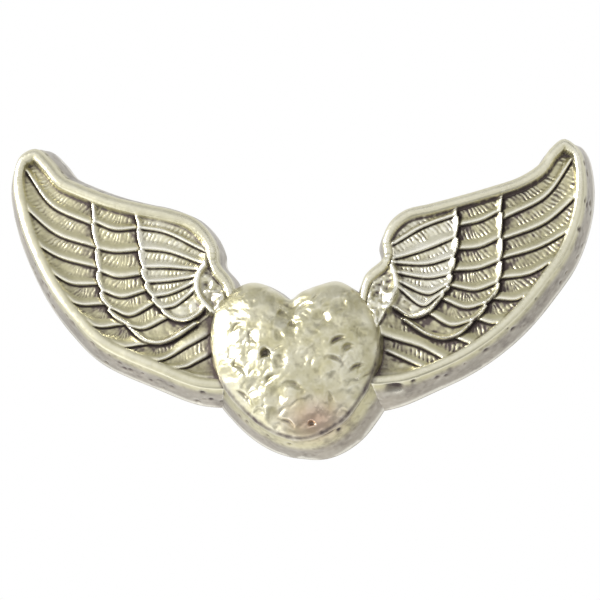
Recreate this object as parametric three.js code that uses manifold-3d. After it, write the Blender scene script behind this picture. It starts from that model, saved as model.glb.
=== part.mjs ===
// Pilot wings pin: a domed cast heart between two cast feather wings, riveted to a flat brooch bar
// with a hinged stem and a roll-over catch.
// Units are millimetres. +X is to the right of someone facing the badge, +Z is up, and the badge
// faces -Y. The origin is the middle of the bar's rear face, which lies against the garment.

import * as THREE from 'three';
import * as BufferGeometryUtils from 'three/addons/utils/BufferGeometryUtils.js';
import Module from 'manifold-3d';

const wasm = await Module();
wasm.setup();
const { smoothstep } = THREE.MathUtils;

// ---- Driving dimensions -------------------------------------------------------------------

const GAP = 0.3; // clearance between neighbours that are shaped by each other
const PLANE_GAP = 0.05; // clearance between flat faces that touch
const CUT = 1; // how far a cutting solid runs past what it cuts
const OUTLINE_STEPS = 56; // corners of each casting's outline
const POCKET_STEPS = 32; // corners of a wing's hollow back
const BEAD_STEPS = { covertEdge: 14, shoulderEdge: 12, shoulderRim: 9, feather: 5 };

const BAR = { length: 54, height: 5, thick: 0.8 };
const BAR_GROOVE = { x: 4.6, width: 0.4, depth: 0.15 }; // a cross groove either side of the middle

const BACK_Y = -BAR.thick - PLANE_GAP; // rear plane of the three castings
const DRAUGHT = 1.9; // how far a casting's rear outline stands outside its front outline
const HEART_LEAN = { top: -0.62, lowerRight: 0.45, towards: [0.82, -0.57] }; // shares of the draught
const INNER_LEAN = -0.7; // the same on a shoulder's inner side
const SHOULDER_END = [11, 19]; // where a wing's upper wall passes from INNER_LEAN to its upperLean
const ROOT_LEAN = { x: 9, width: 5 }; // where a wing's lower wall is wider, by its rootLean
const EDGE_Y = -6.3; // where a side wall meets the front rim

const RIM_Y = -6.9; // crest of the wing rims
const RIM_INSET = { crest: 0.5, limit: 0.8, inner: 1.1, foot: 1.5 }; // inwards from the outline
const FIELD_Y = -5.6; // ground behind the primaries
const COVERT_Y = -6.1; // ground of the middle tier
const SHOULDER_Y = -6.6; // ground of the shoulder tier
const TIER_DROP = 0.5; // width of the slope at a tier's edge
const TIER_FRONT_Y = -8; // no tier reaches as far forward as this
const TIER_ROOT = { x: 7, z: 18, drop: 1 }; // corners of a tier's ground under the heart and rim
const BEAD = 0.42; // half width of a feather's raised edge
const SHOULDER_BEAD = 0.63; // half width of the raised line inside the shoulder
const POCKET_Y = -4.3; // floor of the wings' hollow backs
const POCKET_DRAUGHT = 0.9; // how much wider a wing's hollow is at the rear plane than at its floor
const BOSS_ROOT = 0.4; // how far a wing's boss is sunk into the floor of its hollow

const HEART_CENTRE = [0, -6];
const DOME_Y = -9.9; // front of the heart's dome
const DOME_RINGS = [[0.93, 0.35], [0.8, 0.62], [0.6, 0.84], [0.35, 0.96], [0.12, 1]]; // width, rise
const HEART_WALL = 2.1; // wall round the heart's hollow back, at the rear plane
const HEART_POCKET = { y: -4.75, chamfer: 0.5, wide: 0.84, narrow: 0.76 };
const HEART_BOSS_Y = -6.4; // front end of the heart's bosses, inside the dome
const HEART_HOLE_Y = -4.4; // bottom of the rivet holes in those bosses

const TONGUE = { tip: 5.2, root: 14.5, height: 4.4, thick: 1.7 };
const TONGUE_SLOT = { from: 5, to: 16 };

const RIVET = { shank: 0.75, hole: 0.9, head: 1.3, headThick: 0.5, boss: 2.1 };
const RIVET_DOME = [[0.92, 0.6], [0.6, 0.92], [0, 1]]; // shares of the head's radius and height
const INNER_RIVET = { x: 7.2, y: -4.2 }; // through bar, wing tongue and heart boss
const OUTER_RIVET = { x: 17, y: -3 }; // through bar and wing boss
const WING_HOLE_Y = -3.2; // bottom of the rivet holes in the wings

const STEM_Y = 3; // distance of the stem's axis from the bar
const HINGE_X = -23.5;
const BRACKET = { length: 4.4, base: 0.6, ear: 0.6, spread: 1.8, earLength: 3, earTop: 4.3 };
const HINGE_PIN = { radius: 0.5, hole: 0.62, head: 0.95, headThick: 0.4 };
const STEM = { radius: 0.45, root: 0.9, eye: 1.25, eyeThick: 1.4, tipX: 24.2, taper: 9 };
const STEM_TAPER = [[0.8, 0.55], [0.45, 0.2]]; // share of the radius at a share of the taper from the tip

const CATCH_X = 21;
const HOUSING = {
  length: 3.6, outer: 2.1, inner: 1.52, slot: 1.5, footThick: 0.6, footWidth: 3.4, web: 1.8,
};
const ROTOR = { outer: 1.4, inner: 0.78, slot: 1.3, collar: 2.1, collarLength: 0.7, sideGap: 0.1 };
const TAB = { length: 2.3, thick: 0.8, root: 1, lean: 80 };

// ---- Outlines and feather lines, seen from the front --------------------------------------
// A wing's points are [distance out from the middle of the badge, height].

const HEART_OUTLINE = [
  [-0.9, 1.6], [0.4, 2.5], [2.9, 3.4], [5.1, 3.8], [6.9, 2.9], [8.7, 1.2], [10, -1.2], [10.5, -3.8],
  [10.2, -6.7], [9.2, -9.5], [7.5, -12.2], [5.6, -14.4], [2.5, -16.2], [-0.1, -16.7], [-2.7, -16.1],
  [-5.2, -14.7], [-7.8, -12.3], [-10.1, -9.2], [-11.2, -5.4], [-11.4, -2.5], [-10.9, 0.3],
  [-9.3, 2.3], [-7.7, 3.5], [-6, 4], [-4.4, 3.7], [-2.7, 2.7], [-1.5, 1.8],
];

// The floor of either wing's hollow back.
const POCKET_OUTLINE = [
  [15.5, 11.2], [20.5, 12.4], [25.5, 13.8], [29.5, 15.2], [32.5, 17], [34.4, 18.8], [35.6, 17.6],
  [35.3, 13.5], [33.5, 8.5], [30.8, 4], [27, -0.2], [23, -3.6], [18.5, -5.8], [15.5, -6.8],
  [14.9, 2],
];

const LEFT_WING = {
  upperLean: -0.35,
  rootLean: 0,
  outline: [
    [8.5, 4], [10.4, 6.9], [10.6, 8.8], [11.6, 11], [13.6, 13], [16.7, 14.2], [20.7, 15.2],
    [24.7, 16.4], [28.8, 18.1], [31.2, 19.4], [32.9, 21.5], [34.9, 23.3], [37, 22.4], [37.9, 19.4],
    [37.4, 15.6], [35.8, 10.5], [32.7, 4.2], [29.3, -0.4], [25.9, -3.7], [19.4, -6.9],
    [12.2, -9.6], [8, -9],
  ],
  covertEdge: [
    [27.3, 16.2], [27, 12.5], [26.5, 8.5], [26.2, 4.7], [25.2, 1.7], [22.6, -1], [20.1, -3.2],
    [18.1, -3.5], [16.1, -2.8], [13.6, -1.2],
  ],
  shoulderEdge: [
    [21.7, 14.6], [21, 12.2], [20.6, 8.2], [20, 4.6], [18.7, 2], [17, -0.1], [15.1, -0.7],
    [13.2, 0], [12, 1.2],
  ],
  shoulderRim: [
    [17.5, 13.9], [14.8, 12.6], [12.6, 10.6], [11.8, 8.6], [12.9, 6.3], [13.2, 4], [12.8, 2],
  ],
  primaries: [
    [[36.3, 20.3], [32.9, 15.5], [27.4, 12.7]],
    [[36.3, 15.2], [32.2, 11.6], [27.1, 9.7]],
    [[35.4, 10.7], [31.7, 8.4], [26.8, 6.9]],
    [[33.5, 7], [30.1, 4.8], [26.4, 4.6]],
    [[31.4, 3.7], [29.2, 2], [25.7, 1.9]],
    [[29.4, 0.8], [26.6, -1.1], [23.4, -0.9]],
    [[26.7, -2.2], [23.4, -3.9], [20.3, -3.6]],
    [[22.7, -4.6], [18.6, -5.9], [14.4, -3.9]],
    [[18.4, -7], [14.9, -6.8], [13.4, -6.1]],
  ],
  coverts: [
    [[26.6, 12.8], [24.1, 11.8], [21.2, 11.9]],
    [[26.4, 9.3], [24.1, 8.8], [20.9, 8.9]],
    [[26, 6.2], [23.7, 5.4], [20.5, 5.7]],
    [[25.5, 3.5], [23.2, 2.7], [20, 3.5]],
    [[24.4, 1.1], [22.2, 0.2], [19, 1.7]],
    [[23, -0.8], [20.5, -1.6], [17.4, -0.3]],
  ],
  shoulder: [
    [[20.7, 11.8], [17.4, 11.1], [12.8, 8.7]],
    [[20.4, 9], [17, 8.5], [13.2, 7]],
    [[20, 6.5], [17, 6.4], [13.5, 6]],
    [[19.7, 4.5], [17, 4.6], [13.6, 5]],
    [[18.7, 2.6], [16.8, 2.9], [13.6, 4.2]],
    [[17.6, 1], [16.2, 1.3], [13.5, 3.2]],
  ],
};

const RIGHT_WING = {
  upperLean: -0.7,
  rootLean: 0.6,
  outline: [
    [8.5, 4], [11.2, 6.8], [11.1, 9], [12.2, 11.4], [14.2, 12.9], [17.4, 13.6], [21.3, 14.5],
    [25.2, 15.5], [29.1, 16.7], [31.8, 18.4], [33.2, 20.3], [35, 21.5], [36.7, 20.1], [37.3, 17],
    [36.9, 12.5], [34.9, 7], [32, 2.9], [28, -1.6], [23.4, -5.2], [18.6, -7.7], [12.2, -9.6],
    [8, -9],
  ],
  covertEdge: [
    [26.9, 15.4], [26.4, 12], [26.3, 8.8], [26.1, 5.6], [25.5, 2.2], [23.9, 0], [22.4, -1.9],
    [20.6, -3.5], [18.7, -4.1], [16.5, -3.5], [13.8, -1.6],
  ],
  shoulderEdge: [
    [20.8, 14], [20.7, 10.8], [20.5, 7.8], [19.9, 5], [19.3, 2.7], [17.9, 0.6], [16.4, -0.8],
    [14.6, -1.2], [12.6, 0],
  ],
  shoulderRim: [
    [17.4, 13.4], [14.8, 12.7], [12.6, 11.3], [11.7, 8.7], [12.3, 6.2], [12.8, 3.6], [12.6, 1.6],
  ],
  primaries: [
    [[36, 18.8], [32.4, 14.1], [26.9, 11.4]],
    [[36.1, 13.7], [32, 10.5], [26.6, 8.6]],
    [[35.1, 9.3], [31, 7.3], [26.4, 6.1]],
    [[32.8, 5.4], [29.8, 3.9], [26, 3.5]],
    [[30.1, 1.6], [28, 0.6], [25, 0.9]],
    [[26.9, -2], [24.9, -2.4], [22.9, -1.7]],
    [[22.8, -5.1], [21.6, -4.8], [20.4, -4.2]],
    [[18.7, -6.9], [15.6, -5.1], [13, -4.2]],
    [[15.9, -7.8], [14.6, -7.2], [13.6, -6.7]],
  ],
  coverts: [
    [[26.2, 12.2], [23.8, 11.1], [20.9, 10.6]],
    [[26.1, 8.7], [23.4, 7.6], [20.6, 7.5]],
    [[25.9, 5.7], [23.2, 4.8], [20, 4.7]],
    [[25.4, 2.8], [22.8, 2], [19.7, 2.7]],
    [[23.9, 0.2], [21.5, -0.3], [18.6, 1]],
    [[22, -2], [19.6, -2.5], [17, -1]],
  ],
  shoulder: [
    [[20.3, 11.8], [16.4, 10.5], [12.6, 8.4]],
    [[20.2, 8.9], [16.8, 7.6], [12.9, 6.5]],
    [[20, 6.4], [16.8, 5.6], [13.3, 5.8]],
    [[19.6, 4.2], [16.8, 3.8], [13.2, 4.5]],
    [[18.9, 2.6], [16.8, 1.7], [13.2, 3.3]],
    [[17.8, 1.2], [16.1, 0.2], [13.2, 2.4]],
  ],
};

// ---- Materials ----------------------------------------------------------------------------

const antiqueSilver = new THREE.MeshStandardMaterial({ color: 0xb9b39c, roughness: 0.36, metalness: 1 });
const nickelSilver = new THREE.MeshStandardMaterial({ color: 0xc4c0b4, roughness: 0.3, metalness: 1 });
const springSteel = new THREE.MeshStandardMaterial({ color: 0xc9ccd0, roughness: 0.22, metalness: 1 });
const rivetBrass = new THREE.MeshStandardMaterial({ color: 0xb08d4f, roughness: 0.35, metalness: 1 });

// ---- Solids and meshes --------------------------------------------------------------------

// Turns a closed geometry into a solid that can be joined and cut.
function solid(geometry) {
  const bare = geometry.clone();
  for (const name of Object.keys(bare.attributes)) {
    if (name !== 'position') bare.deleteAttribute(name);
  }
  const merged = BufferGeometryUtils.mergeVertices(bare, 1e-4);
  return new wasm.Manifold(new wasm.Mesh({
    numProp: 3,
    vertProperties: new Float32Array(merged.attributes.position.array),
    triVerts: new Uint32Array(merged.index.array),
  }));
}

// Names a finished solid and gives it its material.
function piece(name, body, material) {
  const data = body.getMesh();
  const geometry = new THREE.BufferGeometry();
  geometry.setAttribute('position', new THREE.BufferAttribute(data.vertProperties, 3));
  geometry.setIndex(new THREE.BufferAttribute(data.triVerts, 1));
  geometry.computeVertexNormals();
  const mesh = new THREE.Mesh(geometry, material);
  mesh.name = name;
  return mesh;
}

function join(solids) {
  return solids.reduce((whole, next) => whole.add(next));
}

function box(x0, x1, y0, y1, z0, z1) {
  const geometry = new THREE.BoxGeometry(x1 - x0, y1 - y0, z1 - z0);
  geometry.translate((x0 + x1) / 2, (y0 + y1) / 2, (z0 + z1) / 2);
  return solid(geometry);
}

// A round bar between two values of the given axis, through the point [a, b] across it.
// For 'x' the point is [y, z], for 'y' it is [x, z] and for 'z' it is [x, y].
function round(axis, radius, from, to, [a, b], sides = 20) {
  const geometry = new THREE.CylinderGeometry(radius, radius, to - from, sides);
  const middle = (from + to) / 2;
  if (axis === 'x') {
    geometry.rotateZ(Math.PI / 2);
    geometry.translate(middle, a, b);
  } else if (axis === 'y') {
    geometry.translate(a, middle, b);
  } else {
    geometry.rotateX(Math.PI / 2);
    geometry.translate(a, b, middle);
  }
  return solid(geometry);
}

// ---- Outlines -----------------------------------------------------------------------------

// A smooth closed outline through a few points, running counter-clockwise from the front.
function smoothOutline(points, steps = OUTLINE_STEPS) {
  const knots = points.map(([x, z]) => new THREE.Vector3(x, 0, z));
  const curve = new THREE.CatmullRomCurve3(knots, true, 'centripetal');
  const outline = curve.getSpacedPoints(steps).slice(0, steps).map((p) => new THREE.Vector2(p.x, p.z));
  return THREE.ShapeUtils.isClockWise(outline) ? outline.reverse() : outline;
}

// The outline moved outwards by a distance, or inwards if it is negative.
function offset(outline, distance) {
  const count = outline.length;
  return outline.map((point, i) => {
    const before = outline[(i + count - 1) % count];
    const after = outline[(i + 1) % count];
    const along = after.clone().sub(before).normalize();
    return new THREE.Vector2(point.x + along.y * distance, point.y - along.x * distance);
  });
}

// A rear outline: the front outline moved out by the draught and a clearance. lean gives the change
// of the draught, as a share of it, for an outward direction and a point.
function rearOutline(outline, lean, clearance = 0) {
  const ahead = offset(outline, 1);
  return outline.map((point, i) => {
    const out = ahead[i].clone().sub(point);
    return point.clone().addScaledVector(out, DRAUGHT * (1 + lean(out, point)) + clearance);
  });
}

// The outline scaled about a centre.
function scaled(outline, [cx, cz], factor) {
  return outline.map((p) => new THREE.Vector2(cx + (p.x - cx) * factor, cz + (p.y - cz) * factor));
}

// A closed body through rings of equal size, each [outline, y], from the rear to the front.
function loft(rings) {
  const count = rings[0][0].length;
  const positions = rings.flatMap(([outline, y]) => outline.flatMap((p) => [p.x, y, p.y]));
  const index = [];
  for (let ring = 0; ring < rings.length - 1; ring += 1) {
    for (let i = 0; i < count; i += 1) {
      const next = (i + 1) % count;
      const rear = ring * count;
      const front = rear + count;
      index.push(rear + i, rear + next, front + next, rear + i, front + next, front + i);
    }
  }
  const last = (rings.length - 1) * count;
  for (const [a, b, c] of THREE.ShapeUtils.triangulateShape(rings[0][0], [])) {
    index.push(a, c, b);
  }
  for (const [a, b, c] of THREE.ShapeUtils.triangulateShape(rings[rings.length - 1][0], [])) {
    index.push(last + a, last + b, last + c);
  }
  const geometry = new THREE.BufferGeometry();
  geometry.setAttribute('position', new THREE.Float32BufferAttribute(positions, 3));
  geometry.setIndex(index);
  return solid(geometry);
}

// Two distances out from the middle, as X values in rising order on one side of it.
function sideways(side, near, far) {
  return side < 0 ? [-far, -near] : [near, far];
}

// ---- Heart --------------------------------------------------------------------------------

const heartOutline = smoothOutline(HEART_OUTLINE);

// The heart's wall is steep round the top and wide at the lower right.
function heartLean(out) {
  const [x, z] = HEART_LEAN.towards;
  const top = HEART_LEAN.top * smoothstep(out.y, -0.2, 0.7);
  return top + HEART_LEAN.lowerRight * smoothstep(out.x * x + out.y * z, 0.5, 0.95);
}

// The heart's outer form, with its walls moved outwards by a clearance.
function heartForm(clearance) {
  const front = offset(heartOutline, clearance);
  const domeHeight = EDGE_Y - DOME_Y;
  const rear = rearOutline(heartOutline, heartLean, clearance);
  const rings = [[rear, BACK_Y + clearance], [front, EDGE_Y]];
  for (const [factor, rise] of DOME_RINGS) {
    rings.push([scaled(front, HEART_CENTRE, factor), EDGE_Y - domeHeight * rise]);
  }
  return loft(rings);
}

function makeHeart() {
  const pocket = loft([
    [offset(heartOutline, DRAUGHT - HEART_WALL), BACK_Y + GAP],
    [scaled(heartOutline, HEART_CENTRE, HEART_POCKET.wide), HEART_POCKET.y + HEART_POCKET.chamfer],
    [scaled(heartOutline, HEART_CENTRE, HEART_POCKET.narrow), HEART_POCKET.y],
  ]);
  let heart = heartForm(0).subtract(pocket);
  const slotFront = BACK_Y - TONGUE.thick - GAP;
  const slotHalf = TONGUE.height / 2 + GAP;
  for (const side of [-1, 1]) {
    const boss = [side * INNER_RIVET.x, 0];
    heart = heart.add(round('y', RIVET.boss, HEART_BOSS_Y, slotFront, boss));
    heart = heart.subtract(round('y', RIVET.hole, HEART_HOLE_Y, slotFront + GAP, boss));
    const [x0, x1] = sideways(side, TONGUE_SLOT.from, TONGUE_SLOT.to);
    heart = heart.subtract(box(x0, x1, slotFront, 0, -slotHalf, slotHalf));
  }
  return piece('heart', heart, antiqueSilver);
}

// ---- Wings --------------------------------------------------------------------------------

// A wing's wall is steep on its upper and inner sides and wide under the root.
function wingLean(side, { upperLean, rootLean }) {
  return (out, point) => {
    const along = side * point.x;
    const facing = smoothstep(out.y - 0.9 * side * out.x, 0, 0.6);
    const upper = INNER_LEAN + (upperLean - INNER_LEAN) * smoothstep(along, ...SHOULDER_END);
    const root = rootLean * Math.exp(-(((along - ROOT_LEAN.x) / ROOT_LEAN.width) ** 2));
    return upper * facing + root * smoothstep(-out.y, 0.2, 0.8);
  };
}

// A raised edge along a line on the front, with a diamond section.
function bead(line, y, halfWidth, steps) {
  const curve = new THREE.CatmullRomCurve3(line.map(([x, z]) => new THREE.Vector3(x, y, z)));
  const section = new THREE.Shape([
    new THREE.Vector2(halfWidth, 0),
    new THREE.Vector2(0, halfWidth),
    new THREE.Vector2(-halfWidth, 0),
    new THREE.Vector2(0, -halfWidth),
  ]);
  const geometry = new THREE.ExtrudeGeometry(section, { steps, extrudePath: curve });
  return solid(geometry);
}

// The raised ground of a tier: from its outer edge inwards to the root, kept inside the rim.
function tier(edge, side, y, limit) {
  const rootX = side * TIER_ROOT.x;
  const low = edge[edge.length - 1][1] - TIER_ROOT.drop;
  const root = [[rootX, low], [rootX, TIER_ROOT.z], [edge[0][0], TIER_ROOT.z]];
  const corners = [...edge, ...root].map(([x, z]) => new THREE.Vector2(x, z));
  const outline = THREE.ShapeUtils.isClockWise(corners) ? corners.reverse() : corners;
  const raised = loft([[outline, FIELD_Y + CUT], [outline, y + TIER_DROP], [offset(outline, -TIER_DROP), y]]);
  return raised.intersect(limit);
}

function makeWing(name, side, layout) {
  const across = (line) => line.map(([out, z]) => [side * out, z]);
  const outline = smoothOutline(across(layout.outline));
  let wing = loft([
    [rearOutline(outline, wingLean(side, layout)), BACK_Y],
    [outline, EDGE_Y],
    [offset(outline, -RIM_INSET.crest), RIM_Y],
    [offset(outline, -RIM_INSET.inner), EDGE_Y],
    [offset(outline, -RIM_INSET.foot), FIELD_Y],
  ]);
  const limit = offset(outline, -RIM_INSET.limit);
  const insideRim = loft([[limit, FIELD_Y + CUT], [limit, TIER_FRONT_Y]]);
  const parts = [
    tier(across(layout.covertEdge), side, COVERT_Y, insideRim),
    tier(across(layout.shoulderEdge), side, SHOULDER_Y, insideRim),
    bead(across(layout.covertEdge), COVERT_Y, BEAD, BEAD_STEPS.covertEdge),
    bead(across(layout.shoulderEdge), SHOULDER_Y, BEAD, BEAD_STEPS.shoulderEdge),
    bead(across(layout.shoulderRim), SHOULDER_Y, SHOULDER_BEAD, BEAD_STEPS.shoulderRim),
  ];
  for (const [feathers, y] of [
    [layout.primaries, FIELD_Y], [layout.coverts, COVERT_Y], [layout.shoulder, SHOULDER_Y],
  ]) {
    for (const feather of feathers) {
      parts.push(bead(across(feather), y, BEAD, BEAD_STEPS.feather));
    }
  }
  wing = join([wing, ...parts]);

  // The wing's root is cut to the heart's wall, and a tongue runs on under the heart.
  wing = wing.subtract(heartForm(GAP));
  const floor = smoothOutline(across(POCKET_OUTLINE), POCKET_STEPS);
  wing = wing.subtract(loft([[offset(floor, POCKET_DRAUGHT), BACK_Y + GAP], [floor, POCKET_Y]]));
  const boss = [side * OUTER_RIVET.x, 0];
  wing = wing.add(round('y', RIVET.boss, POCKET_Y - BOSS_ROOT, BACK_Y, boss));
  const [x0, x1] = sideways(side, TONGUE.tip, TONGUE.root);
  const tongue = box(x0, x1, BACK_Y - TONGUE.thick, BACK_Y, -TONGUE.height / 2, TONGUE.height / 2);
  wing = wing.add(tongue);
  wing = wing.subtract(round('y', RIVET.hole, WING_HOLE_Y, 0, boss));
  wing = wing.subtract(round('y', RIVET.hole, WING_HOLE_Y, 0, [side * INNER_RIVET.x, 0]));
  return piece(name, wing, antiqueSilver);
}

// ---- Bar and rivets -----------------------------------------------------------------------

const RIVETS = [
  ['rivet_left_outer', -OUTER_RIVET.x, OUTER_RIVET.y],
  ['rivet_left_inner', -INNER_RIVET.x, INNER_RIVET.y],
  ['rivet_right_inner', INNER_RIVET.x, INNER_RIVET.y],
  ['rivet_right_outer', OUTER_RIVET.x, OUTER_RIVET.y],
];

function makeBar() {
  const half = BAR.height / 2;
  const straight = BAR.length / 2 - half;
  let bar = box(-straight, straight, -BAR.thick, 0, -half, half);
  for (const x of [-straight, straight]) {
    bar = bar.add(round('y', half, -BAR.thick, 0, [x, 0], 28));
  }
  for (const [, x] of RIVETS) {
    bar = bar.subtract(round('y', RIVET.hole, -BAR.thick - CUT, CUT, [x, 0]));
  }
  for (const side of [-1, 1]) {
    const [x0, x1] = sideways(side, BAR_GROOVE.x, BAR_GROOVE.x + BAR_GROOVE.width);
    bar = bar.subtract(box(x0, x1, -BAR_GROOVE.depth, CUT, -half - CUT, half + CUT));
  }
  return piece('pin_bar', bar, nickelSilver);
}

// A rivet: straight shank into the casting, low domed head behind the bar.
function makeRivet(name, x, endY) {
  const profile = [
    [0, endY],
    [RIVET.shank, endY],
    [RIVET.shank, PLANE_GAP],
    [RIVET.head, PLANE_GAP],
    ...RIVET_DOME.map(([width, rise]) => [RIVET.head * width, RIVET.headThick * rise]),
  ];
  const geometry = new THREE.LatheGeometry(profile.map(([r, y]) => new THREE.Vector2(r, y)), 16);
  geometry.translate(x, 0, 0);
  return piece(name, solid(geometry), rivetBrass);
}

// ---- Hinge and stem -----------------------------------------------------------------------

function makeBracket() {
  const inner = BRACKET.spread / 2;
  const outer = inner + BRACKET.ear;
  const x0 = HINGE_X - BRACKET.length / 2;
  const x1 = HINGE_X + BRACKET.length / 2;
  let bracket = box(x0, x1, PLANE_GAP, PLANE_GAP + BRACKET.base, -outer, outer);
  for (const [z0, z1] of [[-outer, -inner], [inner, outer]]) {
    const half = BRACKET.earLength / 2;
    bracket = bracket.add(box(HINGE_X - half, HINGE_X + half, PLANE_GAP, STEM_Y, z0, z1));
    bracket = bracket.add(round('z', half, z0, z1, [HINGE_X, BRACKET.earTop - half]));
    bracket = bracket.subtract(round('z', HINGE_PIN.hole, z0 - CUT, z1 + CUT, [HINGE_X, STEM_Y]));
  }
  return piece('hinge_bracket', bracket, nickelSilver);
}

function makeHingePin() {
  const half = BRACKET.spread / 2 + BRACKET.ear + PLANE_GAP;
  const centre = [HINGE_X, STEM_Y];
  const pin = join([
    round('z', HINGE_PIN.radius, -half - PLANE_GAP, half + PLANE_GAP, centre, 16),
    round('z', HINGE_PIN.head, half, half + HINGE_PIN.headThick, centre, 16),
    round('z', HINGE_PIN.head, -half - HINGE_PIN.headThick, -half, centre, 16),
  ]);
  return piece('hinge_pin', pin, springSteel);
}

function makeStem() {
  const half = STEM.eyeThick / 2;
  const centre = [HINGE_X, STEM_Y];
  const length = STEM.tipX - HINGE_X;
  const profile = [
    [0, STEM.root],
    [STEM.radius, STEM.root],
    [STEM.radius, length - STEM.taper],
    ...STEM_TAPER.map(([width, back]) => [STEM.radius * width, length - STEM.taper * back]),
    [0, length],
  ];
  const needle = new THREE.LatheGeometry(profile.map(([r, y]) => new THREE.Vector2(r, y)), 12);
  needle.rotateZ(-Math.PI / 2);
  needle.translate(HINGE_X, STEM_Y, 0);
  let stem = round('z', STEM.eye, -half, half, centre, 24).add(solid(needle));
  stem = stem.subtract(round('z', HINGE_PIN.hole, -half - CUT, half + CUT, centre));
  return piece('pin_stem', stem, springSteel);
}

// ---- Catch --------------------------------------------------------------------------------

function makeHousing() {
  const x0 = CATCH_X - HOUSING.length / 2;
  const x1 = CATCH_X + HOUSING.length / 2;
  const centre = [STEM_Y, 0];
  const footHalf = HOUSING.footWidth / 2;
  const slotHalf = HOUSING.slot / 2;
  const webHalf = HOUSING.web / 2;
  let housing = round('x', HOUSING.outer, x0, x1, centre, 28);
  housing = housing.add(box(x0, x1, PLANE_GAP, STEM_Y, -webHalf, webHalf));
  housing = housing.add(box(x0, x1, PLANE_GAP, PLANE_GAP + HOUSING.footThick, -footHalf, footHalf));
  housing = housing.subtract(round('x', HOUSING.inner, x0 - CUT, x1 + CUT, centre, 28));
  const rear = STEM_Y + HOUSING.outer + CUT;
  housing = housing.subtract(box(x0 - CUT, x1 + CUT, STEM_Y, rear, -slotHalf, slotHalf));
  return piece('catch_housing', housing, nickelSilver);
}

// The sleeve is shown open, with its slot facing away from the bar like the housing's.
function makeRotor() {
  const x0 = CATCH_X - HOUSING.length / 2 - ROTOR.sideGap;
  const x1 = CATCH_X + HOUSING.length / 2 + ROTOR.sideGap;
  const centre = [STEM_Y, 0];
  const slotHalf = ROTOR.slot / 2;
  const tab = new THREE.BoxGeometry(ROTOR.collarLength, TAB.length + TAB.root, TAB.thick);
  tab.translate(0, ROTOR.collar + (TAB.length - TAB.root) / 2, 0);
  tab.rotateX(THREE.MathUtils.degToRad(TAB.lean));
  tab.translate(x1 + ROTOR.collarLength / 2, STEM_Y, 0);
  const past = ROTOR.collarLength + CUT;
  let rotor = join([
    round('x', ROTOR.outer, x0 - ROTOR.sideGap, x1 + ROTOR.sideGap, centre, 24),
    round('x', ROTOR.collar, x0 - ROTOR.collarLength, x0, centre, 24),
    round('x', ROTOR.collar, x1, x1 + ROTOR.collarLength, centre, 24),
    solid(tab),
  ]);
  rotor = rotor.subtract(round('x', ROTOR.inner, x0 - past, x1 + past, centre, 20));
  const open = box(x0 - past, x1 + past, STEM_Y, STEM_Y + ROTOR.collar + CUT, -slotHalf, slotHalf);
  rotor = rotor.subtract(open);
  return piece('catch_rotor', rotor, nickelSilver);
}

// ---- Assembly -----------------------------------------------------------------------------

const pin = new THREE.Group();
pin.name = 'pilot_wings_pin';
pin.add(makeHeart());
pin.add(makeWing('left_wing', -1, LEFT_WING));
pin.add(makeWing('right_wing', 1, RIGHT_WING));
pin.add(makeBar());
for (const [name, x, endY] of RIVETS) {
  pin.add(makeRivet(name, x, endY));
}
pin.add(makeBracket());
pin.add(makeHingePin());
pin.add(makeStem());
pin.add(makeHousing());
pin.add(makeRotor());

export default pin;
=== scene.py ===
"""Pilot wings pin: a cast heart between two cast feather wings, on a brooch fitting.

The castings are rebuilt here with their full relief. Dimensions are in millimetres until a mesh is
handed to Blender. A wing is modelled with [distance out from the middle, height] coordinates, and
"height" of the relief is measured towards the viewer, along -Y, from the rear face of the pin bar.
"""

import math

import bmesh
import bpy
import numpy as np
from mathutils import Matrix, Vector
from mathutils.geometry import delaunay_2d_cdt


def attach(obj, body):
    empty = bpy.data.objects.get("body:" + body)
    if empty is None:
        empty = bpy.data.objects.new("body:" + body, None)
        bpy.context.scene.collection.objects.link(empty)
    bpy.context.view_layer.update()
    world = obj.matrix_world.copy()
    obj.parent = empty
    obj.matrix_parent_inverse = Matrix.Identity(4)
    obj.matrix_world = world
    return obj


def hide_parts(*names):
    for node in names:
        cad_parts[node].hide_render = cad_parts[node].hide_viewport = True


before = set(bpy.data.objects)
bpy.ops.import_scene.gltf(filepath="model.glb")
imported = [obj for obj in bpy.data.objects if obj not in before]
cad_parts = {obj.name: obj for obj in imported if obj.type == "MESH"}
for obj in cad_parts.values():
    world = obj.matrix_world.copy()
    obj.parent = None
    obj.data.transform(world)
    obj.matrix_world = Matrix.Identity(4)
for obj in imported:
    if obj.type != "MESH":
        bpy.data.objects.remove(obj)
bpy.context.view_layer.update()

MM = 0.001
FAR = 99.0  # stands for "no line on that side"; real distances stay under half of it

# ---- Dimensions shared with the frame ---------------------------------------------------------

BACK = 0.85  # relief height of the castings' rear plane
EDGE = 6.3  # where a side wall meets the front rim
DRAUGHT = 1.9  # how far the rear outline stands outside the front outline
INNER_STEEP = 0.7  # share of the draught missing on a shoulder's inner side
SHOULDER_END = (11, 19)  # where along the wing INNER_STEEP gives way to the wing's own value
ROOT_AT, ROOT_SPREAD = 9, 5  # where a wing's lower wall may be wider
HEART_TOP_STEEP = 0.62  # share of the draught missing round the heart's top
HEART_LOW_EXTRA = 0.45  # extra share of the draught at the heart's lower right
HEART_LOW_TOWARDS = (0.82, -0.57)
GAP = 0.3  # clearance round the wings' tongues
SEAM = 0.02  # hairline between the heart and the wings' roots
POCKET_FLOOR = 4.3
POCKET_DRAUGHT = 0.9
HEART_POCKET_FLOOR = 4.75
HEART_WALL = 2.1
HEART_CENTRE = np.array([0.0, -6.0])
DOME = 9.9  # relief height of the heart's crown
TONGUE_TIP, TONGUE_ROOT, TONGUE_HALF, TONGUE_THICK = 5.2, 14.5, 2.2, 1.7
RIVET_HOLE, BOSS = 0.9, 2.1
INNER_RIVET, OUTER_RIVET = 7.2, 17.0

# ---- Relief of the wings ----------------------------------------------------------------------

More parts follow.
